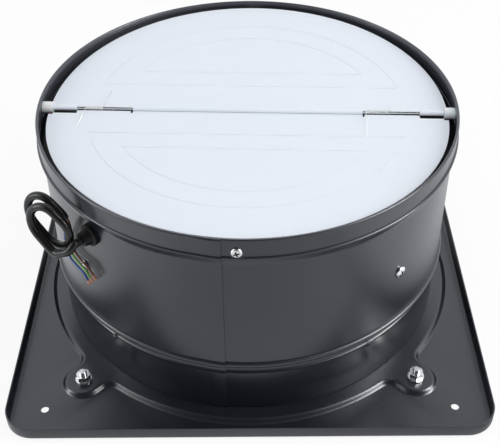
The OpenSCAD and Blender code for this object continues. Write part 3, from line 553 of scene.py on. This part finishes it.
foot = [(NECK_R - BARREL_SHEET, PRESS_H + 2), (NECK_R - BARREL_SHEET - 0.4, PRESS_H + 1.2),
        (NECK_R - BARREL_SHEET - 1, PRESS_H + BARREL_SHEET), (FOOT_R, PRESS_H + BARREL_SHEET),
        (FOOT_R, PRESS_H + 0.02), (NECK_R - 0.8, PRESS_H + 0.02), (NECK_R - 0.2, PRESS_H + 0.3)]
print("points in the barrel's profile", len(outer + rim + hem + inner + foot))

# %% Turn the barrel
SEAM_ANGLE, SEAM_GAP, LAP_TURN, BARREL_STEPS = -3.6, 0.02, 7.8, 240
RIPPLE, RIPPLE_ROUND, RIPPLE_UP = 0.05, 3, 0.004
BARREL_CREASE, MOUTH_IN, MOUTH_DEPTH = 38, 0.8, 14

turns = [SEAM_ANGLE + SEAM_GAP] + [SEAM_ANGLE + 360 / BARREL_STEPS * i for i in range(1, BARREL_STEPS)]
turns += [SEAM_ANGLE + 360 - SEAM_GAP]
barrel_rings = []
for line, lap in ((outer, 1.0), (rim, 0.6), (hem + inner + foot, 0.0)):
    for radius, height in line:
        ring = []
        for turn in turns:
            from_seam = (SEAM_ANGLE + 360 - turn) / LAP_TURN
            out = BARREL_SHEET * (0.5 + 0.5 * math.cos(math.pi * min(1, from_seam))) * lap
            spot = polar(turn, RIPPLE_ROUND, 0)
            ripple = RIPPLE * noise.noise(Vector((spot.x, spot.y, height * RIPPLE_UP)))
            ring.append(polar(turn + BARREL_TURN, radius + out + ripple, height) * MM)
        barrel_rings.append(ring)
case = wrap("rolled_case", barrel_rings)
soft_edges(case, BARREL_CREASE)
# Faces inside the mouth take the second finish: the lighter grey that is painted light.
for face in case.data.polygons:
    inside = math.hypot(face.center.x, face.center.y) < (BAND_R - MOUTH_IN) * MM
    face.material_index = 1 if inside and face.center.z > (BARREL_H - MOUTH_DEPTH) * MM else 0
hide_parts("barrel")
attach(case, "housing")
print("barrel", len(case.data.polygons), "faces")

# %% [markdown]
# ## Spot welds and screws
# The foot ring is spot welded inside the neck, and each weld pushes a small dimple outward. The screws have
# low round heads with a cross recess. A head is a turned profile, from which a tapered cross is cut, and the
# faces of the recess get a second, dark finish: painted shade, which stands in for the shadow inside the
# recess.

# %% Raise the spot welds
WELD_ANGLES, WELD_Z, WELD_R, WELD_OUT, WELD_SUNK = (-38, 37.5, 142.5, -142), 43, 4.2, 1.0, 0.05
WELD_RINGS, WELD_SIDES, WELD_FLAT = 7, 24, 0.6

weld_points, weld_faces = [], []
for weld_angle in WELD_ANGLES:
    weld_faces += ring_faces(WELD_RINGS, WELD_SIDES, len(weld_points))
    for ring in range(WELD_RINGS):
        share = ring / (WELD_RINGS - 1)
        out = WELD_OUT * (0.5 + 0.5 * math.cos(math.pi * share)) - WELD_SUNK
        for k in range(WELD_SIDES):
            turn = 2 * math.pi * k / WELD_SIDES
            angle = weld_angle + math.degrees(WELD_R * share * math.cos(turn) / NECK_R)
            height = WELD_Z + WELD_FLAT * WELD_R * share * math.sin(turn)
            weld_points.append(polar(angle + BARREL_TURN, NECK_R + out, height) * MM)
spot_welds = link_mesh("spot_welds", weld_points, weld_faces)
turn_outward(spot_welds)
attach(spot_welds, "housing")
print("spot welds", len(weld_faces), "faces")

# %% A turned blank and the bars of its recess
HEAD_H, RECESS_DEPTH, RECESS_HALF_TOP, RECESS_HALF_LOW = 2.3, 1.5, 0.66, 0.42
BOX_FACES = ((0, 1, 2, 3), (7, 6, 5, 4), (0, 4, 5, 1), (1, 5, 6, 2), (2, 6, 7, 3), (3, 7, 4, 0))


def turned(name, profile, axes, sides):
    """Mesh turned round the third of the axes from (radius, height) pairs."""
    points = []
    for radius, height in profile:
        for k in range(sides):
            turn = 2 * math.pi * k / sides
            points.append(axes @ Vector((radius * math.cos(turn), radius * math.sin(turn), height)) * MM)
    return link_mesh(name, points, ring_faces(len(profile), sides) + end_faces(len(profile), sides))


def recess_bar(axes, arm, angle):
    """Half of the cross: a bar that narrows downward, as the tip of the screwdriver does."""
    spin = Matrix.Rotation(math.radians(angle), 3, "Z")
    points = []
    for height, long, wide in ((HEAD_H + 1, arm * 1.25, RECESS_HALF_TOP),
                               (HEAD_H - RECESS_DEPTH, arm * 0.45, RECESS_HALF_LOW)):
        for x, y in ((-long, -wide), (long, -wide), (long, wide), (-long, wide)):
            points.append(axes @ (spin @ Vector((x, y, height))) * MM)
    bar = link_mesh("recess", points, BOX_FACES)
    turn_outward(bar)
    return bar


print("recess bars", 2 * RECESS_HALF_TOP, "mm wide at the top and", 2 * RECESS_HALF_LOW, "mm at the bottom")

# %% A screw with a cross recess
SCREW_SIDES, SHANK_R, HEAD_EDGE, SCREW_CREASE = 40, 2, 0.75, 32
RECESS_ANGLES, RECESS_REACH, SUNK, SUNK_WITHIN = (20, 110), 0.66, 0.12, 0.8


def dome_height(radius, head_r):
    """Height of the head's surface at a radius."""
    return HEAD_EDGE + (HEAD_H - HEAD_EDGE) * math.sqrt(max(0, 1 - (radius / head_r)**2))


def pan_screw(name, angle, radius, height, head_r, length):
    """Screw whose head stands on the barrel, with its shank inward."""
    outward = polar(angle + BARREL_TURN, 1, 0)
    across = Vector((0, 0, 1)).cross(outward)
    turn = Matrix((across, Vector((0, 0, 1)), outward)).transposed().to_4x4()
    axes = Matrix.Translation(polar(angle + BARREL_TURN, radius, height)) @ turn
    profile = [(SHANK_R, -length), (SHANK_R, 0), (head_r * 0.98, 0.02), (head_r, 0.2), (head_r, 0.65)]
    profile += [(head_r * math.sin(a), HEAD_EDGE + (HEAD_H - HEAD_EDGE) * math.cos(a))
                for a in arc_steps(84, 6, 10)]
    screw = turned(name, profile, axes, SCREW_SIDES)
    turn_outward(screw)
    for recess_angle in RECESS_ANGLES:
        cut_away(screw, recess_bar(axes, head_r * RECESS_REACH, recess_angle))
    soft_edges(screw, SCREW_CREASE)
    # Faces sunk in the cross recess take the second finish: painted shade that stands in for the recess's
    # shadow.
    to_screw = axes.inverted()
    for face in screw.data.polygons:
        spot = to_screw @ (face.center / MM)
        from_axis = math.hypot(spot.x, spot.y)
        sunk = 0 < spot.z < dome_height(from_axis, head_r) - SUNK
        face.material_index = 1 if sunk and from_axis < head_r * SUNK_WITHIN else 0
    return screw


print("screw heads", HEAD_H, "mm high")

# %% Set the screws
ARM_ANGLE, BRACKET_Z, STOP_Z = 46, 105.5, 168.5
side_screws = [pan_screw(f"side_screw_{i}", angle, BARREL_R + 0.1, BRACKET_Z, head_r=4.7, length=8)
               for i, angle in enumerate((ARM_ANGLE, 180 - ARM_ANGLE, 180 + ARM_ANGLE, -ARM_ANGLE))]
band_screws = [pan_screw(f"band_screw_{i}", angle, BAND_R + 0.1, STOP_Z, head_r=4.0, length=6)
               for i, angle in enumerate((0, 180))]
for pieces, node in ((side_screws, "bracket_screws"), (band_screws, "stop_screws")):
    for piece in pieces:
        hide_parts(node)
        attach(piece, "housing")
print("screws", len(side_screws) + len(band_screws))

# %% [markdown]
# ## The closing springs
# Two coils of thin wire on the hinge rod pull the flaps shut. One leg of each wire lies on the front flap and
# the other on the back flap. When a flap swings, its legs go with it and the coils stay. A wire in one piece
# could follow only one flap, so each spring is cut in the middle of its coil into a front half and a back
# half.

# %% Wind the springs
HINGE_Z, ROD_R, FLAP_REST, FLAP_SHEET = BARREL_H - 9.5, 1.2, 2.4, 1.0
KNUCKLE_GAP, COIL_GAP, LEG_GAP = 0.06, 0.2, 0.15
SPRING_WIRE, COIL_STEPS, WIRE_SIDES, BLEND_WIDTH = 0.5, 16, 10, 0.9
# Each row: the coil's two ends, its turns, and where its front leg and back leg end, beside the hinge.
SPRINGS = {
    "torsion_spring_left": ((-127, -113.5), 12, (-130.2, -26), (-110.6, 24)),
    "torsion_spring_right": ((92.6, 110.8), 14, (91.6, -32), (111.5, 16)),
}
knuckle_r = ROD_R + KNUCKLE_GAP + FLAP_SHEET
spring_r = ROD_R + COIL_GAP + SPRING_WIRE / 2


def on_hinge(x, y, z):
    """Point beside the hinge rod, which is turned with the barrel."""
    turn = math.radians(BARREL_TURN)
    cosine, sine = math.cos(turn), math.sin(turn)
    return Vector((x * cosine - y * sine, x * sine + y * cosine, z + HINGE_Z))


def leg_end(x, y):
    """Point where a leg lies on the closed flap, which slopes up from the rod."""
    flap_top = FLAP_SHEET - knuckle_r + abs(y) * math.tan(math.radians(FLAP_REST))
    return on_hinge(x, y, flap_top + SPRING_WIRE / 2 + LEG_GAP)


springs = []
for name, (ends, turns_wound, front_leg, back_leg) in SPRINGS.items():
    steps = COIL_STEPS * turns_wound
    coil = []
    for i in range(steps + 1):
        turn = 2 * math.pi * i / COIL_STEPS
        x = ends[0] + (ends[1] - ends[0]) * i / steps
        coil.append(on_hinge(x, -spring_r * math.sin(turn), spring_r * math.cos(turn)))
    front_line = [leg_end(*front_leg)] + coil[:steps // 2 + 1]
    back_line = coil[steps // 2:] + [leg_end(*back_leg)]
    halves = (("front", -1, front_leg[0], front_line), ("back", 1, back_leg[0], back_line))
    for side, away, leg_x, line in halves:
        wire = [p * MM for p in line]
        piece = tube(name.replace("torsion_spring", side + "_spring"), wire, SPRING_WIRE / 2 * MM, WIRE_SIDES)
        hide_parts(name)
        side + "_flap"
        on_hinge(leg_x, away * spring_r, 0) * MM
        on_hinge(leg_x, away * (spring_r + BLEND_WIDTH), 0) * MM
        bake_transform(piece)
        springs.append(piece)
print("springs", len(springs), "halves")

# %% [markdown]
# ## A way to write finishes
# A finish is a small sum: a colour, plus a little noise, minus some wear. Blender writes such sums as
# boxes and wires. The first class below lets Python's own signs add those boxes, so that the sum can be
# read. The second makes any box from its type, its settings, and the values or wires of its sockets.

# %% Sums of nodes
class Value:
    """The output of a node. Python's signs on it add Math nodes."""

    def __init__(self, nodes, socket):
        self.nodes = nodes
        self.socket = socket

    def math(self, operation, *others):
        return self.nodes.node("ShaderNodeMath", {"operation": operation}, self, *others)

    def __sub__(self, other):
        return self.math("SUBTRACT", other)

    def __rsub__(self, other):
        return self.nodes.node("ShaderNodeMath", {"operation": "SUBTRACT"}, other, self)

    def __mul__(self, other):
        return self.math("MULTIPLY", other)

    def __gt__(self, other):
        return self.math("GREATER_THAN", other)

    __rmul__ = __mul__


print("signs that add Math nodes: minus, times and greater than")

# %% Any node, from its type, settings and sockets
class Nodes:
    """The nodes of a material or of the world."""

    def __init__(self, owner):
        self.owner = owner
        owner.use_nodes = True
        self.tree = owner.node_tree
        self.tree.nodes.clear()

    def feed(self, socket, value):
        if isinstance(value, Value):
            self.tree.links.new(value.socket, socket)
        elif value is not None:
            socket.default_value = value

    def node(self, kind, settings, *values, output=0, **named):
        """Any node: its type, its settings, and the values or links of its sockets."""
        made = self.tree.nodes.new(kind)
        for key, setting in settings.items():
            setattr(made, key, setting)
        for index, value in enumerate(values):
            self.feed(made.inputs[index], value)
        for key, value in named.items():
            self.feed(made.inputs[key.replace("_", " ")], value)
        return Value(self, made.outputs[output]) if made.outputs else made

    def range(self, value, low, high, to_low, to_high):
        """Moves values from low..high to to_low..to_high, held at both ends."""
        return self.node("ShaderNodeMapRange", {}, value, low, high, to_low, to_high)

    def mix(self, factor, first, second):
        """Two colours mixed. Sockets 6 and 7 and output 2 are the node's own for colours."""
        return self.node("ShaderNodeMix", {"data_type": "RGBA"}, factor, *[None] * 5, first, second, output=2)


print("helpers:", ", ".join(name for name in vars(Nodes) if not name.startswith("__")))

# %% Clouds, grain and the main shader
NO_STRETCH = (1, 1, 1)


class Finish(Nodes):
    """A material for a piece."""

    def __init__(self, name):
        super().__init__(bpy.data.materials.new(name))
        self.place = self.node("ShaderNodeTexCoord", {}, output="Object")

    def noise(self, scale, detail, stretch=NO_STRETCH):
        """Cloudy noise from 0 to 1, with scale spots to the metre."""
        place = self.place
        if stretch != NO_STRETCH:
            place = self.node("ShaderNodeVectorMath", {"operation": "MULTIPLY"}, place, stretch)
        return self.node("ShaderNodeTexNoise", {}, Vector=place, Scale=scale, Detail=detail)

    def cloudy(self, clouds, colour, spread):
        """The colour, darker and lighter by a share where the clouds are low and high."""
        darker = [c * (1 - spread) for c in colour]
        lighter = [min(1, c * (1 + spread)) for c in colour]
        return self.mix(clouds, [*darker, 1], [*lighter, 1])

    def bump(self, height, distance, strength, under=None):
        return self.node("ShaderNodeBump", {}, Strength=strength, Distance=distance, Height=height,
                         Normal=under)

    def surface(self, **sockets):
        """Ends the material in the main shader, with the given sockets, and returns it."""
        shader = self.node("ShaderNodeBsdfPrincipled", {}, **sockets)
        self.node("ShaderNodeOutputMaterial", {}, Surface=shader)
        return self.owner


def grey(level):
    return (level, level, level, 1)


print("finishes start from object coordinates, in metres")

# %% [markdown]
# ## Black paint
# The plate and the barrel have a baked, half-gloss black paint. On the real sheet the reflections are soft
# and wander a little, because drawn steel is never quite flat and the paint flows into a fine orange peel.
# Two bumps give that: long, low waves that run up the barrel, and a fine grain. The inner faces of the rim
# get a duller, lighter grey copy of the paint: painted light, which stands in for the light that makes them
# show lighter than the outside.

# %% Paint for the plate and the barrel
DUST_ABOVE, DUST_SHARE, PEEL_DEPTH = 0.76, 0.04, 0.00002


def black_paint(name, colour, wave_depth, rough, stretch=NO_STRETCH):
    paint = Finish(name)
    clouds = paint.noise(scale=9, detail=3)
    dust = paint.noise(scale=2600, detail=1) > DUST_ABOVE
    tone = paint.mix(dust * DUST_SHARE, paint.cloudy(clouds, colour, 0.2), grey(0.3))
    orange_peel = paint.bump(paint.noise(scale=900, detail=2), PEEL_DEPTH, 0.4)
    waves = paint.noise(scale=14, detail=1, stretch=stretch)
    return paint.surface(
        Base_Color=tone, Roughness=paint.range(clouds, 0.3, 0.7, rough - 0.03, rough + 0.04),
        Normal=paint.bump(waves, wave_depth, 1.0, under=orange_peel),
        Coat_Weight=paint.range(clouds, 0.2, 0.8, 0.05, 0.25), Coat_Roughness=0.2,
        Specular_IOR_Level=0.95, Specular_Tint=(0.95, 0.97, 1.0, 1))


barrel_paint = black_paint("barrel_paint", (0.009, 0.0105, 0.0155), 0.0012, 0.3, stretch=(1, 1, 0.12))
plate_paint = black_paint("plate_paint", (0.0105, 0.0115, 0.0165), 0.0006, 0.27)
# Painted light: a lighter grey copy of the paint for the inside of the mouth, standing in for the light it
# shows.
inner_paint = black_paint("inner_paint", (0.035, 0.038, 0.046), 0.0004, 0.36)
blade_paint = black_paint("blade_paint", (0.015, 0.016, 0.019), 0.0004, 0.38)
print("nodes in a black paint", len(barrel_paint.node_tree.nodes))

# %% [markdown]
# ## Metals
# The bolts, nuts, screws and the guard are bright zinc plated, and the rod and the springs are bare bright
# steel. Such metal has a silky grain and a faint cloudiness, and its reflections decide how it looks far
# more than its colour. The motor's bells are rough cast aluminium, and the core is dull sheet steel.

# %% Metal finishes
def metal(name, colour, rough, grain_scale, grain_depth, stretch=NO_STRETCH):
    plating = Finish(name)
    clouds = plating.noise(scale=60, detail=3)
    grain = plating.noise(grain_scale, detail=3, stretch=stretch)
    return plating.surface(
        Base_Color=plating.cloudy(clouds, colour, 0.12), Metallic=1.0,
        Roughness=plating.range(grain, 0.3, 0.7, rough - 0.05, rough + 0.08),
        Normal=plating.bump(grain, grain_depth, 0.6))


zinc = metal("zinc", (0.88, 0.89, 0.9), 0.17, 1500, 0.00002)
rod_steel = metal("rod_steel", (0.88, 0.89, 0.91), 0.25, 2000, 0.00001, stretch=(0.02, 1, 1))
spring_steel = metal("spring_steel", (0.88, 0.89, 0.91), 0.42, 3000, 0.000005)
core_steel = metal("core_steel", (0.42, 0.42, 0.43), 0.42, 700, 0.00003)
cast_aluminium = metal("cast_aluminium", (0.6, 0.6, 0.6), 0.5, 500, 0.00012)
winding_copper = metal("winding_copper", (0.62, 0.27, 0.12), 0.35, 300, 0.0003, stretch=(1, 1, 4))
strand_copper = metal("strand_copper", (0.82, 0.42, 0.28), 0.3, 2500, 0.00001)
# Painted shade: near-black zinc for the faces in the screws' recesses, standing in for their shadow.
recess_zinc = metal("recess_zinc", (0.07, 0.07, 0.075), 0.5, 1500, 0.00003)
print("nodes in a metal", len(zinc.node_tree.nodes))

# %% [markdown]
# ## Flap film, nylon and rubber
# The flaps are a pale film on thin sheet, so they shine softly and show the rim. The bushes are milky
# nylon that light passes into, and the cord has a smooth rubber sheath with a dull sheen. The earth core is
# striped: the tube's second coordinate counts turns round it, and two repeats of it give two yellow and two
# green stripes along the core.

# %% Soft finishes
def plain(name, colour, rough, spread=0.1, scale=40, grain=1200, grain_depth=0.00002, **constants):
    finish = Finish(name)
    clouds = finish.noise(scale, detail=3)
    return finish.surface(
        Base_Color=finish.cloudy(clouds, colour, spread),
        Roughness=finish.range(clouds, 0.3, 0.7, rough - 0.05, rough + 0.05),
        Normal=finish.bump(finish.noise(grain, detail=2), grain_depth, 0.6), **constants)


flap_film = plain("flap_film", (0.765, 0.805, 0.865), 0.34, 0.012, 12, 300, 0.00003)
nylon = plain("nylon", (0.86, 0.87, 0.88), 0.3, 0.04, 90, Subsurface_Weight=0.4, Subsurface_Scale=0.004)
cord_rubber = plain("cord_rubber", (0.007, 0.007, 0.0065), 0.24, 0.15, 120)
gland_rubber = plain("gland_rubber", (0.004, 0.004, 0.0045), 0.5, 0.15, 120, Specular_IOR_Level=0.3)
capacitor_plastic = plain("capacitor_plastic", (0.7, 0.7, 0.66), 0.4, 0.04, 50)
brown_core = plain("brown_core", (0.13, 0.045, 0.02), 0.35)
blue_core = plain("blue_core", (0.015, 0.07, 0.26), 0.35)

YELLOW, GREEN, REPEATS = (0.6, 0.62, 0.04, 1), (0.03, 0.22, 0.05, 1), 2
striped = Finish("earth_core")
tube_place = striped.node("ShaderNodeUVMap", {"uv_map": "tube"})
turns_round = striped.node("ShaderNodeSeparateXYZ", {}, tube_place, output=1)
stripe = (turns_round * REPEATS).math("FRACT") > 0.5
earth_core = striped.surface(Base_Color=striped.mix(stripe, YELLOW, GREEN), Roughness=0.35)
print("nodes in the striped core", len(earth_core.node_tree.nodes))

# %% [markdown]
# ## Dressing the pieces
# A finish is given to a mesh, and each face says by a number which of its mesh's finishes it takes. Most
# pieces have one. The screws have a second, painted shade, for their recesses, and the barrel has a second,
# painted light, for the inside of its mouth.

# %% Give each piece its finish
FINISHES = {
    plate_paint: ("mounting_plate",),
    barrel_paint: ("barrel", "motor_bracket"),
    blade_paint: ("impeller_blades", "impeller_hub"),
    zinc: ("inlet_guard", "guard_bolts", "bolt_washers", "bolt_nuts", "bracket_nuts", "flap_stops",
           "stop_nuts", "capacitor_clip", "blade_rivets", "impeller_nut"),
    rod_steel: ("hinge_rod", "motor_shaft"),
    spring_steel: ("torsion_spring_left", "torsion_spring_right"),
    core_steel: ("stator_core", "rotor_core", "front_bearing", "rear_bearing"),
    cast_aluminium: ("motor_front_bell", "motor_rear_bell"),
    winding_copper: ("stator_windings",),
    capacitor_plastic: ("run_capacitor",),
    cord_rubber: ("motor_lead",),
    gland_rubber: ("cable_gland",),
    nylon: ("rod_bushes",),
    flap_film: ("flap_front", "flap_back"),
}


def dress(piece, *materials):
    """Gives the piece its materials. Clearing old slots would send every face back to the first."""
    if piece.data.materials:
        piece.data.materials.clear()
    for material in materials:
        piece.data.materials.append(material)


for material, names in FINISHES.items():
    for name in names:
        dress(solids[name], material)
for piece in springs:
    dress(piece, spring_steel)
for piece in side_screws + band_screws:
    dress(piece, zinc, recess_zinc)
for piece in tips.values():
    dress(piece, strand_copper)
dress(supply_cord, cord_rubber)
dress(spot_welds, barrel_paint)
dress(wall_plate, plate_paint)
dress(case, barrel_paint, inner_paint)
dress(cores["core_brown"], brown_core)
dress(cores["core_blue"], blue_core)
dress(cores["core_earth"], earth_core)
print("dressed", sum(len(names) for names in FINISHES.values()), "solids")

# %% [markdown]
# ## Studio
# The photograph was taken on white paper in a light tent, so the black paint shows mostly reflections of
# white. The world is white to the camera and in reflections, and weaker as light, which keeps the pale
# flaps below pure white. The tent has its dark opening in front, above the camera's line: without it the
# slopes that face the camera would look as bright as the rest, and nothing would draw the pressed edges.
# In reflections the paper carries painted shade: it is dimmer in front of the fan's middle, and in a strip of
# painted shadow beside the plate's right edge. Two tall soft lamps draw the long highlights on the barrel.
# Two more only shine: they add no light to the pale flaps, and draw the streaks on the pressing's shoulder,
# the bead and the band.

# %% The tent round the fan
def seen_as_white(nodes):
    """1 for camera rays, and 1 for these and the rays that a shiny or clear surface sends on, else 0."""
    camera_ray, shiny, clear = (nodes.node("ShaderNodeLightPath", {}, output=f"Is {kind} Ray")
                                for kind in ("Camera", "Glossy", "Transmission"))
    return camera_ray, camera_ray.math("MAXIMUM", shiny).math("MAXIMUM", clear)


OPENING_DIRECTION, OPENING_DARKEST = (0, -0.6, 0.8), 0.06
CLOTH_COLOUR, LIGHT_COLOUR, LIGHT_STRENGTH = (0.93, 0.955, 1.0, 1), (0.95, 0.97, 1.0, 1), 0.62
tent = Nodes(bpy.data.worlds.new("light_tent"))
bpy.context.scene.world = tent.owner
sky = tent.node("ShaderNodeTexCoord", {}, output="Generated")
facing = tent.node("ShaderNodeVectorMath", {"operation": "DOT_PRODUCT"}, sky, OPENING_DIRECTION,
                   output="Value")
opening = tent.range(facing, low=0.3, high=0.88, to_low=1.0, to_high=OPENING_DARKEST)
camera_ray, seen = seen_as_white(tent)
cloth = tent.mix(camera_ray, tent.mix(opening, grey(0.0), CLOTH_COLOUR), grey(1.0))
shown = tent.node("ShaderNodeBackground", {}, cloth, 1.0)
light = tent.node("ShaderNodeBackground", {}, LIGHT_COLOUR, LIGHT_STRENGTH)
tent.node("ShaderNodeOutputWorld", {}, tent.node("ShaderNodeMixShader", {}, seen, light, shown))
print("tent with", len(tent.tree.nodes), "nodes")

# %% The paper floor
FLOOR_HALF, FLOOR_Z, PAINTED_SHADE_STRIP_X = 6.0, -0.0002, 0.195
PAPER_COLOUR, WHITE_SHARE = (0.94, 0.965, 1.0, 1), 0.86
floor_corners = [(x * FLOOR_HALF, y * FLOOR_HALF, FLOOR_Z) for x, y in ((-1, -1), (1, -1), (1, 1), (-1, 1))]
floor = link_mesh("floor", floor_corners, [(0, 1, 2, 3)])
paper = Finish("floor_paper")
across = paper.node("ShaderNodeSeparateXYZ", {}, paper.place)
depth = paper.node("ShaderNodeSeparateXYZ", {}, paper.place, output=1)
# Painted shade on the paper, seen only in reflections: dimmer in front of the fan's middle, and in a strip of
# painted shadow beside the plate's right edge.
front = paper.range(depth, low=-0.24, high=-0.08, to_low=0.57, to_high=1.0)
sides = paper.range(across.math("ABSOLUTE"), low=0.1, high=0.24, to_low=0.5, to_high=1.0)
painted_shade_strip = paper.range((across - PAINTED_SHADE_STRIP_X).math("ABSOLUTE"), low=0.005, high=0.04, to_low=0.4, to_high=1.0)
shade = paper.mix(front.math("MAXIMUM", sides).math("MINIMUM", painted_shade_strip), grey(0.0), PAPER_COLOUR)
camera_ray, seen = seen_as_white(paper)
glow = paper.node("ShaderNodeEmission", {}, paper.mix(camera_ray, shade, grey(1.0)), 1.0)
matte = paper.node("ShaderNodeBsdfPrincipled", {}, Base_Color=grey(0.94), Roughness=0.9,
                   Specular_IOR_Level=0.0)
surface = paper.node("ShaderNodeMixShader", {}, seen * WHITE_SHARE, matte, glow)
paper.node("ShaderNodeOutputMaterial", {}, Surface=surface)
dress(floor, paper.owner)
print("floor", 2 * FLOOR_HALF, "m square")

# %% Lamps
def soft_box(name, place, target, width, height, power):
    lamp = bpy.data.lights.new(name, "AREA")
    lamp.shape = "RECTANGLE"
    lamp.size, lamp.size_y = width, height
    lamp.energy = power
    box = bpy.data.objects.new(name, lamp)
    box.location = place
    box.rotation_mode = "QUATERNION"
    box.rotation_quaternion = (Vector(target) - Vector(place)).to_track_quat("-Z", "Y")
    bpy.context.scene.collection.objects.link(box)
    return box


top = soft_box("top_lamp", (0.2, -0.3, 1.6), target=(0, 0, 0.1), width=1.4, height=1.4, power=6)
top.visible_glossy = False
soft_box("right_lamp", (1.3, -0.3, 0.7), target=(0, 0, 0.08), width=0.35, height=1.1, power=10)
soft_box("left_lamp", (-1.4, -0.3, 0.6), target=(0, 0, 0.08), width=0.3, height=1.0, power=5)
right_shine = soft_box("right_shine", (1.0, -0.4, 0.9), target=(0.1, -0.14, 0), width=0.5, height=0.7,
                       power=7.5)
left_shine = soft_box("left_shine", (-1.0, -0.4, 0.9), target=(-0.1, -0.14, 0), width=0.5, height=0.7,
                      power=1.5)
right_shine.visible_diffuse = left_shine.visible_diffuse = False
print("lamps", len(bpy.data.lights))

# %% [markdown]
